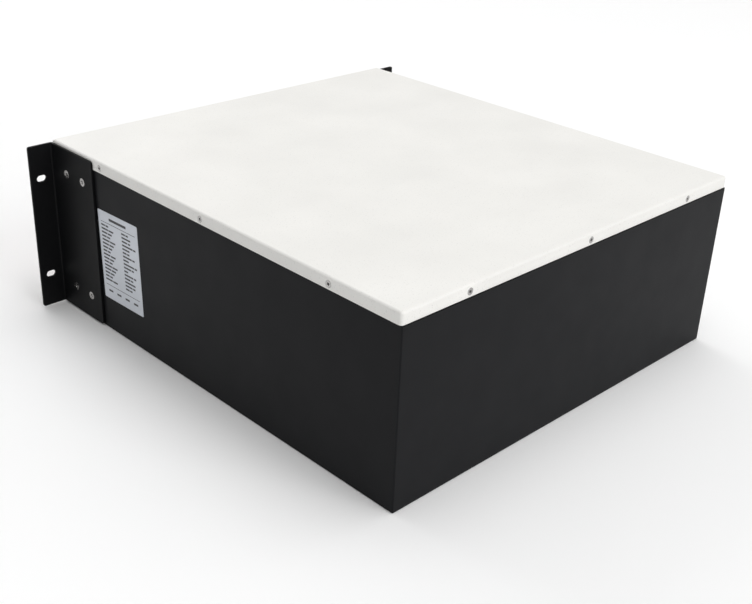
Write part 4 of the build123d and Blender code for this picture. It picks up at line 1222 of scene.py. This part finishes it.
def pole_mark(pole, front):
    """The pale bar or cross set into the hood's face."""
    low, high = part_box(f"terminal_cover_{pole}")
    middle_x, mark_z = (low.x + high.x) / 2, MOUNTS[f"{pole}_stud_left"]["pos_m"][2] + front.mark_lift
    face, back = low.y - front.mark_proud, low.y + front.wall / 2
    reach, half = front.mark_reach, front.mark_half
    mark = block(
        "pole_mark", (middle_x - reach, face, mark_z - half), (middle_x + reach, back, mark_z + half)
    )
    if pole == "positive":
        upright = block(
            "bar", (middle_x - half, face, mark_z - reach), (middle_x + half, back, mark_z + reach)
        )
        cut(mark, [upright], "UNION")
    mark.name = f"pole_mark_{pole}"
    return smooth(ease_edges(mark, front.mark_proud / 2, 2), 30)


def threaded(name, place, direction, long, radius, pitch, core):
    """A threaded end: the outline goes in and out once for each turn, and ends in a chamfer."""
    outline = [(0.0, core)]
    turns = int(long / pitch)
    for number in range(turns - 1):
        base = number * pitch
        outline += [(base + 0.40 * pitch, radius), (base + 0.55 * pitch, radius), (base + pitch, core)]
    outline += [(long - pitch * 0.4, core), (long, core * 0.82)]
    return turned(name, place, direction, outline, 24)


def hexagon(name, place, direction, across, height, bore, flange=None):
    """A hexagon nut with chamfered corners, with or without a flange, its bore open."""
    place, direction = Vector(place), Vector(direction)
    corner = across / 2 / math.cos(math.pi / 6)
    nut = post(name, place, place + direction * height, corner, 6)
    dome = [(-MM, corner * 0.8), (0, across / 2), (height * 0.1, corner * 1.02)]
    dome += [(height * 0.88, corner * 1.02), (height, across / 2 * 0.97), (height + MM, corner * 0.7)]
    cut(nut, [turned("dome", place, direction, dome, 48)], "INTERSECT")
    if flange:
        radius, thick = flange
        outline = [(0, radius), (thick * 0.6, radius), (thick * 1.6, across / 2)]
        cut(nut, [turned("flange", place, direction, outline, 48)], "UNION")
    cut(nut, [post("bore", place - direction * MM, place + direction * (height + MM), bore, 32)])
    return smooth(nut, 30)


def build_studs():
    """The four power studs and their flanged nuts."""
    studs, nuts = [], []
    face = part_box("terminal_nuts")[1].y
    nut_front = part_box("terminal_nuts")[0].y
    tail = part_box("terminal_studs")[1].y
    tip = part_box("terminal_studs")[0].y
    radius = MOUNTS["positive_stud_left"]["dims"]["r_mm"] * MM
    core = radius - 0.6 * MM
    for low, high in islands("terminal_studs"):
        x, z = (low.x + high.x) / 2, (low.z + high.z) / 2
        shank = turned(
            "shank",
            (x, tail, z),
            -Y,
            [(0, core * 0.85), (MM, core), (tail - nut_front + 0.2 * MM, core)],
            24,
        )
        studs += [
            shank, threaded("thread", (x, nut_front, z), -Y, nut_front - tip, radius, 1.25 * MM, core)
        ]
        nuts.append(
            hexagon(
                "nut", (x, face, z), -Y, 13 * MM, face - nut_front, core + 0.05 * MM, (8.6 * MM, 1.5 * MM)
            )
        )
    return smooth(join(studs, "threaded_studs"), 25), join(nuts, "flanged_nuts")


def build_breaker(front):
    """The breaker's body with its nose and drum slot, and the ribbed double toggle."""
    low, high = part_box("breaker_body")
    nose_low, nose_high = breaker_nose()
    hinge = Vector(JOINTS["breaker_toggle_hinge"]["pos_m"])
    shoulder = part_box("front_panel")[1].y + 0.3 * MM
    body = block("breaker_case", (low.x, shoulder, low.z), high)
    nose = block("nose", (nose_low.x, low.y, nose_low.z), (nose_high.x, shoulder + MM, nose_high.z))
    cut(body, [nose], "UNION")
    toggle_low, toggle_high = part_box("breaker_toggle")
    side_gap, drum_gap = 0.4 * MM, 0.6 * MM
    pin_half, pin_radius = 17 * MM, 1.5 * MM
    groove_rise, groove_half, groove_margin, groove_depth = 16 * MM, 0.6 * MM, 3 * MM, 0.5 * MM
    vent_count, vent_start, vent_pitch, vent_reach, vent_depth = 5, 8 * MM, 5 * MM, 20 * MM, 0.8 * MM
    slot = post(
        "slot",
        (toggle_low.x - side_gap, hinge.y, hinge.z),
        (toggle_high.x + side_gap, hinge.y, hinge.z),
        front.drum + drum_gap,
        64,
    )
    pin = post(
        "pin", (hinge.x - pin_half, hinge.y, hinge.z), (hinge.x + pin_half, hinge.y, hinge.z), pin_radius, 24
    )
    cutters = [slot, pin]
    for step in (-1, 1):
        groove_z = hinge.z + step * groove_rise
        cutters.append(
            block(
                "groove",
                (nose_low.x + groove_margin, low.y - MM, groove_z - groove_half),
                (nose_high.x - groove_margin, low.y + groove_depth, groove_z + groove_half),
            )
        )
    for side in (-1, 1):
        edge_x = low.x if side < 0 else high.x
        for step in range(vent_count):
            vent_y = high.y - vent_start - step * vent_pitch
            cutters.append(
                block(
                    "vent",
                    (edge_x - vent_depth, vent_y - MM, hinge.z - vent_reach),
                    (edge_x + vent_depth, vent_y + MM, hinge.z + vent_reach),
                )
            )
    cut(body, cutters)
    smooth(ease_edges(body, front.edge), 30)

    toggle = post(
        "toggle", (toggle_low.x, hinge.y, hinge.z), (toggle_high.x, hinge.y, hinge.z), front.drum, 64
    )
    half = 2 * MM
    lever = block(
        "lever",
        (toggle_low.x, hinge.y - front.lever, hinge.z - half),
        (toggle_high.x, hinge.y, hinge.z + half),
    )
    tip = lambda start, end: edge_along(X)(start, end) and start.y < hinge.y - front.lever + HAIR
    round_edges(lever, tip, 1.5 * MM, 5)
    grips = []
    for step in range(4):
        y = hinge.y - front.lever + (2.6 + 1.7 * step) * MM
        for z in (hinge.z - half, hinge.z + half):
            grips.append(post("grip", (toggle_low.x - MM, y, z), (toggle_high.x + MM, y, z), 0.45 * MM, 12))
    cut(lever, grips)
    rest = Matrix.Translation(hinge) @ Matrix.Rotation(math.radians(40), 4, "X") @ Matrix.Translation(
        -hinge
    )
    lever.data.transform(rest)
    cut(toggle, [lever], "UNION")
    cut(
        toggle,
        [
            post(
                "bore",
                (toggle_low.x - MM, hinge.y, hinge.z),
                (toggle_high.x + MM, hinge.y, hinge.z),
                1.55 * MM,
                24,
            )
        ],
    )
    split = block(
        "split",
        (hinge.x - 0.3 * MM, hinge.y - front.drum - 0.1 * MM, hinge.z - front.drum),
        (hinge.x + 0.3 * MM, hinge.y - front.drum + 0.5 * MM, hinge.z + front.drum),
    )
    cut(toggle, [split])
    return body, smooth(ease_edges(toggle, 0.15 * MM), 30)


def build_power_button():
    """The turned housing with a tapered flange, and the dished cap with a plain ring."""
    low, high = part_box("power_button_housing")
    cap_low, cap_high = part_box("power_button")
    middle = (cap_low + cap_high) / 2
    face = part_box("front_panel")[0].y
    flange = face - low.y
    radius, bore = (high.x - low.x) / 2, (cap_high.x - cap_low.x) / 2 + 0.3 * MM
    outline = [
        (0, 7.9 * MM),
        (high.y - face, 7.9 * MM),
        (high.y - face, radius),
        (high.y - face + flange * 0.55, radius),
    ]
    outline += [(high.y - low.y - 0.1 * MM, radius - 0.9 * MM), (high.y - low.y, radius - 1.2 * MM)]
    housing = turned("button_bezel", (middle.x, high.y, middle.z), -Y, outline, 64)
    cut(
        housing,
        [post("bore", (middle.x, low.y - MM, middle.z), (middle.x, low.y + 9 * MM, middle.z), bore, 64)],
    )
    cap_radius = bore - 0.3 * MM
    long = cap_high.y - cap_low.y
    outline = [(0, cap_radius), (long - 0.8 * MM, cap_radius), (long - 0.25 * MM, cap_radius - 0.25 * MM)]
    outline += [
        (long, cap_radius - 0.8 * MM),
        (long - 0.25 * MM, cap_radius * 0.62),
        (long - 0.45 * MM, cap_radius * 0.56),
    ]
    outline += [
        (long - 0.45 * MM, cap_radius * 0.48),
        (long - 0.25 * MM, cap_radius * 0.42),
        (long - 0.35 * MM, cap_radius * 0.1),
    ]
    cap = turned("button_cap", (middle.x, cap_high.y, middle.z), -Y, outline, 64)
    return smooth(ease_edges(housing, 0.12 * MM), 30), smooth(cap, 30)


def build_key(node, name):
    """A domed key with its collar behind the panel."""
    low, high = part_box(node)
    place, radius = front_round(node)
    collar = (high.x - low.x) / 2
    panel_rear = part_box("front_panel")[1].y + 0.2 * MM
    long = high.y - low.y
    collar_end, collar_start = high.y - panel_rear, high.y - panel_rear - MM
    outline = [
        (0, radius),
        (collar_start, radius),
        (collar_start, collar),
        (collar_end, collar),
        (collar_end, radius),
    ]
    outline += [
        (long - 0.6 * MM, radius),
        (long - 0.25 * MM, radius - 0.2 * MM),
        (long - 0.1 * MM, radius - 0.6 * MM),
    ]
    outline += [(long, radius * 0.35)]
    return smooth(turned(name, (place.x, high.y, place.z), -Y, outline, 40), 40)


def build_sockets():
    """The socket row: four stepped mouths, each with eight sprung contacts."""
    low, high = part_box("network_sockets")
    shells, contacts = [], []
    count, half = 4, 8 * MM
    mouth_half, mouth_foot, mouth_top, depth = 5.95 * MM, 5.1 * MM, 3.1 * MM, 12 * MM
    notch_half, notch_foot, notch_top = 3.1 * MM, 3 * MM, 5.5 * MM
    contact_count, contact_pitch, contact_half, contact_foot = 8, 1.02 * MM, 0.2 * MM, 4.8 * MM
    contact_start, contact_thick, contact_rise = 2 * MM, 0.3 * MM, 3.4 * MM
    pitch = (high.x - low.x - 2 * half) / (count - 1)
    z = (low.z + high.z) / 2
    for number in range(count):
        x = low.x + half + number * pitch
        shell = block("socket", (x - half, low.y, low.z), (x + half, high.y, high.z))
        mouth = block(
            "mouth",
            (x - mouth_half, low.y - MM, z - mouth_foot),
            (x + mouth_half, low.y + depth, z + mouth_top),
        )
        notch = block(
            "notch",
            (x - notch_half, low.y - MM, z + notch_foot),
            (x + notch_half, low.y + depth, z + notch_top),
        )
        cut(shell, [cut(mouth, [notch], "UNION")])
        shells.append(ease_edges(shell, 0.2 * MM))
        for pin in range(contact_count):
            pin_x = x + (pin - (contact_count - 1) / 2) * contact_pitch
            foot = z - contact_foot
            contact = block(
                "contact",
                (pin_x - contact_half, low.y + contact_start, foot),
                (pin_x + contact_half, low.y + depth - 0.1 * MM, foot + contact_thick),
            )
            edit(contact, "FACE", facing(Y))
            bpy.ops.transform.translate(value=(0, 0, contact_rise))
            done()
            contacts.append(contact)
    return smooth(join(shells, "socket_row"), 30), smooth(join(contacts, "socket_contacts"), 30)


def build_lamps():
    """The row of domed light guides."""
    lamps = []
    for low, high in islands("status_leds"):
        radius, long = (high.x - low.x) / 2, high.y - low.y
        place = ((low.x + high.x) / 2, high.y, (low.z + high.z) / 2)
        outline = [
            (0, radius), (long - 0.8 * MM, radius), (long - 0.35 * MM, radius * 0.88), (long, radius * 0.35)
        ]
        lamps.append(turned("lamp", place, -Y, outline, 24))
    return smooth(join(lamps, "light_guides"), 50)


def build_window():
    """The display's clear window, its edges eased, and the black mask printed behind its border."""
    low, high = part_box("display_window")
    window = ease_edges(block("window_glass", low, high), 0.4 * MM, 3)
    behind = high.y + 0.05 * MM
    mask = block("window_mask", (low.x, behind, low.z), (high.x, behind + 0.05 * MM, high.z))
    border = 4 * MM
    cutter = block(
        "clear",
        (low.x + border, behind - MM, low.z + border),
        (high.x - border, behind + MM, high.z - border),
    )
    cut(mask, [cutter])
    return smooth(window), smooth(mask)


def earth_fittings():
    """The earth stud's thread, and the nuts of the stud and of the power button."""
    mount = MOUNTS["earth_stud_end"]
    radius = mount["dims"]["r_mm"] * MM
    low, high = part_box("earth_stud")
    x, z = mount["pos_m"][0], mount["pos_m"][2]
    nut_front = mount["pos_m"][1] + mount["dims"]["length_mm"] / 2 * MM
    core = radius - 0.45 * MM
    washer, washer_thick = 6 * MM, 1.2 * MM
    panel_front, panel_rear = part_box("front_panel")[0].y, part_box("front_panel")[1].y
    shank_outline = [
        (0, core), (high.y - panel_rear - washer_thick, core), (high.y - panel_rear - washer_thick, washer)
    ]
    shank_outline += [
        (high.y - panel_rear, washer), (high.y - panel_rear, core), (high.y - nut_front + 0.2 * MM, core)
    ]
    shank = turned("shank", (x, high.y, z), -Y, shank_outline, 32)
    stud = join(
        [shank, threaded("thread", (x, nut_front, z), -Y, nut_front - low.y, radius, MM, core)],
        "earth_thread",
    )
    nut_rear = panel_front - washer_thick
    disc = turned(
        "washer",
        (x, panel_front, z),
        -Y,
        [(0, washer), (0.9 * washer_thick, washer), (washer_thick, washer * 0.97)],
        40,
    )
    cut(disc, [post("bore", (x, panel_front + MM, z), (x, nut_rear - MM, z), core + 0.05 * MM, 32)])
    nuts = [disc, hexagon("nut", (x, nut_rear, z), -Y, 10 * MM, nut_rear - nut_front, core + 0.05 * MM)]
    button = (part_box("power_button_housing")[0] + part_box("power_button_housing")[1]) / 2
    nuts.append(hexagon("nut", (button.x, panel_rear, button.z), Y, 21 * MM, 3 * MM, 7.95 * MM))
    return smooth(stud, 25), join(nuts, "fitting_nuts")


# ---- Operators


class BATTERY_OT_tray(bpy.types.Operator):
    """Fold the steel tray that carries everything"""

    bl_idname = "battery.tray"
    bl_label = "Case tray"

    def execute(self, context):
        case, fasteners = context.scene.battery_case, context.scene.battery_fasteners
        paint = powder_coat("case_paint", case.case_paint, 0.48, case.peel, 0.10)
        hand_over(build_tray(case, fasteners), paint, ["chassis_tray"])
        return {"FINISHED"}


class BATTERY_OT_cover(bpy.types.Operator):
    """Make the white pan that closes the case and the white front panel"""

    bl_idname = "battery.cover"
    bl_label = "Cover and front panel"

    def execute(self, context):
        case, fasteners = context.scene.battery_case, context.scene.battery_fasteners
        paint = powder_coat("cover_paint", case.cover_paint, 0.5, case.peel, 0.4)
        hand_over(build_cover(case, fasteners), paint, ["top_cover"])
        hand_over(build_panel(case, fasteners), paint, ["front_panel"])
        return {"FINISHED"}


class BATTERY_OT_ears(bpy.types.Operator):
    """Bend the two slotted rack ears"""

    bl_idname = "battery.ears"
    bl_label = "Rack ears"

    def execute(self, context):
        case, fasteners = context.scene.battery_case, context.scene.battery_fasteners
        paint = powder_coat("ear_paint", case.ear_paint, 0.46, case.peel, 0.08)
        for side, node in ((-1, "rack_ear_left"), (1, "rack_ear_right")):
            hand_over(build_ear(side, node, case, fasteners), paint, [node])
        return {"FINISHED"}


class BATTERY_OT_screws(bpy.types.Operator):
    """Place the cover, ear and panel screws"""

    bl_idname = "battery.screws"
    bl_label = "Screws and nuts"

    def execute(self, context):
        fasteners = context.scene.battery_fasteners
        nickel = plated_steel("screw_steel", fasteners.plating, 0.24)
        place_screws("cover_screw_set", "cover_screws", fasteners.m3, fasteners.m3_head, fasteners, nickel)
        place_screws("ear_screw_set", "ear_screws", fasteners.m4, fasteners.m4_head, fasteners, nickel, 0)
        place_screws("panel_screw_set", "panel_screws", fasteners.m3, fasteners.m3_head, fasteners, nickel)
        return {"FINISHED"}


class BATTERY_OT_label(bpy.types.Operator):
    """Stick the rating label on the side wall"""

    bl_idname = "battery.label"
    bl_label = "Rating label"

    def execute(self, context):
        label = context.scene.battery_label
        finishes = {
            "label_sheet": label_film_finish(label.film),
            "label_print": printing_ink("label_ink", label.ink),
        }
        for name, piece in build_label(label).items():
            piece = hand_over(smooth(piece), finishes[name], [])
            if name == "label_sheet":
                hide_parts("rating_label")
        return {"FINISHED"}


class BATTERY_OT_handles(bpy.types.Operator):
    """Bend the two front handles"""

    bl_idname = "battery.handles"
    bl_label = "Front handles"

    def execute(self, context):
        front = context.scene.battery_front
        anodised = drawn_metal("handle_metal", front.handle, 0.38, (1, 1, 0.2), metallic=0.7)
        for node in ("handle_left", "handle_right"):
            hand_over(bow_handle(node, front), anodised, [node])
        return {"FINISHED"}


class BATTERY_OT_terminals(bpy.types.Operator):
    """Mould the terminals and their hoods, and thread the studs and nuts"""

    bl_idname = "battery.terminals"
    bl_label = "Power terminals"

    def execute(self, context):
        front, fasteners = context.scene.battery_front, context.scene.battery_fasteners
        pale = moulded_plastic("slider_white", front.slider, 0.4)
        for pole, colour in (("negative", front.negative), ("positive", front.positive)):
            plastic = moulded_plastic(f"{pole}_plastic", colour, 0.42)
            hand_over(terminal_base(pole, front), plastic, [f"terminal_base_{pole}"])
            cover = f"terminal_cover_{pole}"
            hand_over(terminal_hood(pole, front), plastic, [cover], cover)
            hand_over(pole_mark(pole, front), pale, [], cover)
        tinned = plated_steel("tinned_copper", fasteners.tin, 0.32)
        zinc = plated_steel("nut_steel", fasteners.zinc, 0.34)
        studs, nuts = build_studs()
        hand_over(studs, tinned, ["terminal_studs"])
        hand_over(nuts, zinc, ["terminal_nuts"])
        earth, fitting_nuts = earth_fittings()
        hand_over(earth, tinned, ["earth_stud"])
        hand_over(fitting_nuts, zinc, ["panel_nuts"])
        return {"FINISHED"}


class BATTERY_OT_breaker(bpy.types.Operator):
    """Mould the breaker and its toggle"""

    bl_idname = "battery.breaker"
    bl_label = "Breaker"

    def execute(self, context):
        front = context.scene.battery_front
        body, toggle = build_breaker(front)
        hand_over(body, moulded_plastic("breaker_grey", front.breaker, 0.45), ["breaker_body"])
        black = moulded_plastic("toggle_black", front.black, 0.3, 0.000004)
        hand_over(toggle, black, ["breaker_toggle"], "breaker_toggle")
        return {"FINISHED"}


class BATTERY_OT_controls(bpy.types.Operator):
    """Make the power button, the menu keys, the reset button and the address switch"""

    bl_idname = "battery.controls"
    bl_label = "Buttons and keys"

    def execute(self, context):
        front = context.scene.battery_front
        steel = drawn_metal("button_metal", front.button, 0.25, (1, 6, 1))
        housing, cap = build_power_button()
        hand_over(housing, steel, ["power_button_housing"])
        hand_over(cap, steel, ["power_button"], "power_button")
        rubber = soft_rubber("key_rubber", front.key)
        for number in range(1, 5):
            node = f"menu_key_{number}"
            hand_over(build_key(node, f"domed_key_{number}"), rubber, [node], node)
        pale = moulded_plastic("reset_plastic", front.reset, 0.4)
        hand_over(build_key("reset_button", "reset_key"), pale, ["reset_button"], "reset_button")
        blue = moulded_plastic("switch_blue", front.switch, 0.4)
        body = refined_copy("address_switch_body", "switch_case")
        hand_over(smooth(ease_edges(body, 0.12 * MM), 30), blue, ["address_switch_body"])
        white = bpy.data.materials["slider_white"]
        for number in range(1, 5):
            node = f"address_slider_{number}"
            slider = block(f"switch_slider_{number}", *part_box(node))
            hand_over(smooth(ease_edges(slider, 0.15 * MM)), white, [node], node)
        return {"FINISHED"}


class BATTERY_OT_display(bpy.types.Operator):
    """Make the display, its window, the status lamps and the network sockets"""

    bl_idname = "battery.display"
    bl_label = "Display, lamps and sockets"

    def execute(self, context):
        front = context.scene.battery_front
        window, mask = build_window()
        hand_over(
            window, clear_finish("window_clear", (0.80, 0.84, 0.86), 0.06, 1.0, 1.3), ["display_window"]
        )
        ink = printing_ink("window_ink", (0.008, 0.008, 0.009))
        hand_over(mask, ink, [])
        paint_node("display_module", moulded_plastic("display_black", front.screen, 0.12, 0.000001))
        hand_over(build_lamps(), clear_finish("led_clear", front.lamp, 0.15, 0.6), ["status_leds"])
        black = moulded_plastic("socket_black", front.black, 0.38)
        row, contacts = build_sockets()
        hand_over(row, black, ["network_sockets"])
        gold = plated_steel("contact_gold", (0.80, 0.55, 0.20), 0.25)
        hand_over(contacts, gold, [])
        paint_node("tact_switches", black)
        return {"FINISHED"}


class BATTERY_OT_inside(bpy.types.Operator):
    """Give the cells, boards, straps and cables inside the case their finishes"""

    bl_idname = "battery.inside"
    bl_label = "Cells and wiring"

    def execute(self, context):
        inside, front = context.scene.battery_inside, context.scene.battery_front
        fasteners = context.scene.battery_fasteners
        finishes = {
            "cell_wrap": cell_wrap_finish(inside.wrap),
            "laminate": laminate_finish(inside.laminate),
            "board_green": circuit_board_finish(inside.solder_mask),
            "pad_rubber": soft_rubber("pad_rubber", inside.pad),
            "strap_steel": drawn_metal("strap_steel", inside.strap, 0.36, (0.3, 1, 6)),
            "plate_aluminium": drawn_metal("plate_aluminium", inside.plate, 0.35, (1, 0.3, 5)),
            "bare_copper": drawn_metal("bare_copper", fasteners.copper, 0.32, (0.3, 5, 1)),
            "film_clear": clear_finish("film_clear", inside.sheet, 0.3, 0.5),
            "transistor_epoxy": moulded_plastic("transistor_epoxy", front.black, 0.5),
            "heatsink_black": drawn_metal("heatsink_black", front.handle, 0.45, (0.2, 1, 5), 0.6),
            "cable_black": soft_rubber("cable_black", inside.cable),
            "harness_white": soft_rubber("harness_white", inside.harness),
            "tinned_copper": bpy.data.materials["tinned_copper"],
            "nut_steel": bpy.data.materials["nut_steel"],
        }
        for node, part in NODES.items():
            if not part.hide_render and SLOTS[node] in finishes:
                paint_node(node, finishes[SLOTS[node]])
        return {"FINISHED"}


class BATTERY_OT_stage(bpy.types.Operator):
    """Set up the floor, the soft lights and the camera"""

    bl_idname = "battery.stage"
    bl_label = "Studio"

    def execute(self, context):
        stage = context.scene.battery_stage
        deselect()
        bpy.ops.mesh.primitive_plane_add(size=stage.floor_size)
        floor = new_piece("studio_floor")
        floor.data.materials.append(floor_finish(stage.floor))

        world = bpy.data.worlds.new("studio_air")
        world.use_nodes = True
        nodes, links = world.node_tree.nodes, world.node_tree.links
        place = nodes.new("ShaderNodeTexCoord").outputs["Generated"]
        split = nodes.new("ShaderNodeSeparateXYZ")
        links.new(place, split.inputs["Vector"])
        fade = nodes.new("ShaderNodeMapRange")
        fade.inputs["From Min"].default_value = stage.fade_start
        fade.inputs["From Max"].default_value = stage.fade_end
        fade.inputs["To Min"].default_value = stage.air_strength
        fade.inputs["To Max"].default_value = stage.dim_strength
        links.new(split.outputs["X"], fade.inputs["Value"])
        air = nodes["Background"]
        air.inputs["Color"].default_value = (*stage.air, 1)
        links.new(fade.outputs["Result"], air.inputs["Strength"])
        context.scene.world = world
        context.scene.view_settings.view_transform = "Standard"

        aim = Vector((0, 0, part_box("chassis_tray")[1].z / 2))
        for name, place, width, power in LIGHTS:
            deselect()
            bpy.ops.object.light_add(type="AREA", location=place)
            light = context.object
            light.name = name
            light.rotation_euler = (aim - Vector(place)).to_track_quat("-Z", "Y").to_euler()
            light.data.size = width
            light.data.energy = power

        back = -Vector(stage.camera_forward).normalized()
        right = Vector(stage.camera_up).cross(back).normalized()
        up = back.cross(right)
        deselect()
        bpy.ops.object.camera_add()
        camera = context.object
        turn = Matrix((right, up, back)).transposed().to_4x4()
        camera.matrix_world = Matrix.Translation(stage.camera_place) @ turn
        camera.data.lens = stage.lens
        camera.data.sensor_width = 36
        camera.data.clip_start = 0.01
        camera.data.clip_end = 200
        context.scene.camera = camera
        return {"FINISHED"}


# Name, place, width in metres and power in watts of each soft light
LIGHTS = [
    ("rear_light", (-0.4, 5.5, 3.0), 4.0, 132),
    ("top_light", (-0.4, 0.5, 6.0), 5.0, 148),
    ("front_light", (-0.6, -5.5, 3.0), 4.0, 92),
]

SETTINGS = {
    "battery_case": CaseSettings,
    "battery_fasteners": FastenerSettings,
    "battery_label": LabelSettings,
    "battery_front": FrontSettings,
    "battery_inside": InsideSettings,
    "battery_stage": StageSettings,
}

STEPS = [
    BATTERY_OT_stage,
    BATTERY_OT_tray,
    BATTERY_OT_cover,
    BATTERY_OT_ears,
    BATTERY_OT_screws,
    BATTERY_OT_label,
    BATTERY_OT_handles,
    BATTERY_OT_terminals,
    BATTERY_OT_breaker,
    BATTERY_OT_controls,
    BATTERY_OT_display,
    BATTERY_OT_inside,
]


class BATTERY_PT_panel(bpy.types.Panel):
    """The steps that build the battery pack's looks, and the settings that they use"""

    bl_idname = "BATTERY_PT_panel"
    bl_label = "Battery pack"
    bl_space_type = "VIEW_3D"
    bl_region_type = "UI"
    bl_category = "Battery pack"

    def draw(self, context):
        layout = self.layout
        for step in STEPS:
            layout.operator(step.bl_idname)
        for group, settings in SETTINGS.items():
            box = layout.box()
            box.label(text=settings.__name__)
            for name in settings.__annotations__:
                box.prop(getattr(context.scene, group), name)


def register():
    """Register the settings, the operators and the panel."""
    for group, settings in SETTINGS.items():
        bpy.utils.register_class(settings)
        setattr(bpy.types.Scene, group, PointerProperty(type=settings))
    for step in STEPS:
        bpy.utils.register_class(step)
    bpy.utils.register_class(BATTERY_PT_panel)


def unregister():
    """Remove them again."""
    bpy.utils.unregister_class(BATTERY_PT_panel)
    for step in reversed(STEPS):
        bpy.utils.unregister_class(step)
    for group, settings in SETTINGS.items():
        delattr(bpy.types.Scene, group)
        bpy.utils.unregister_class(settings)


def main():
    """Run every step in order."""
    register()
    for step in STEPS:
        getattr(bpy.ops.battery, step.bl_idname.split(".")[1])()


if __name__ == "__main__":
    main()
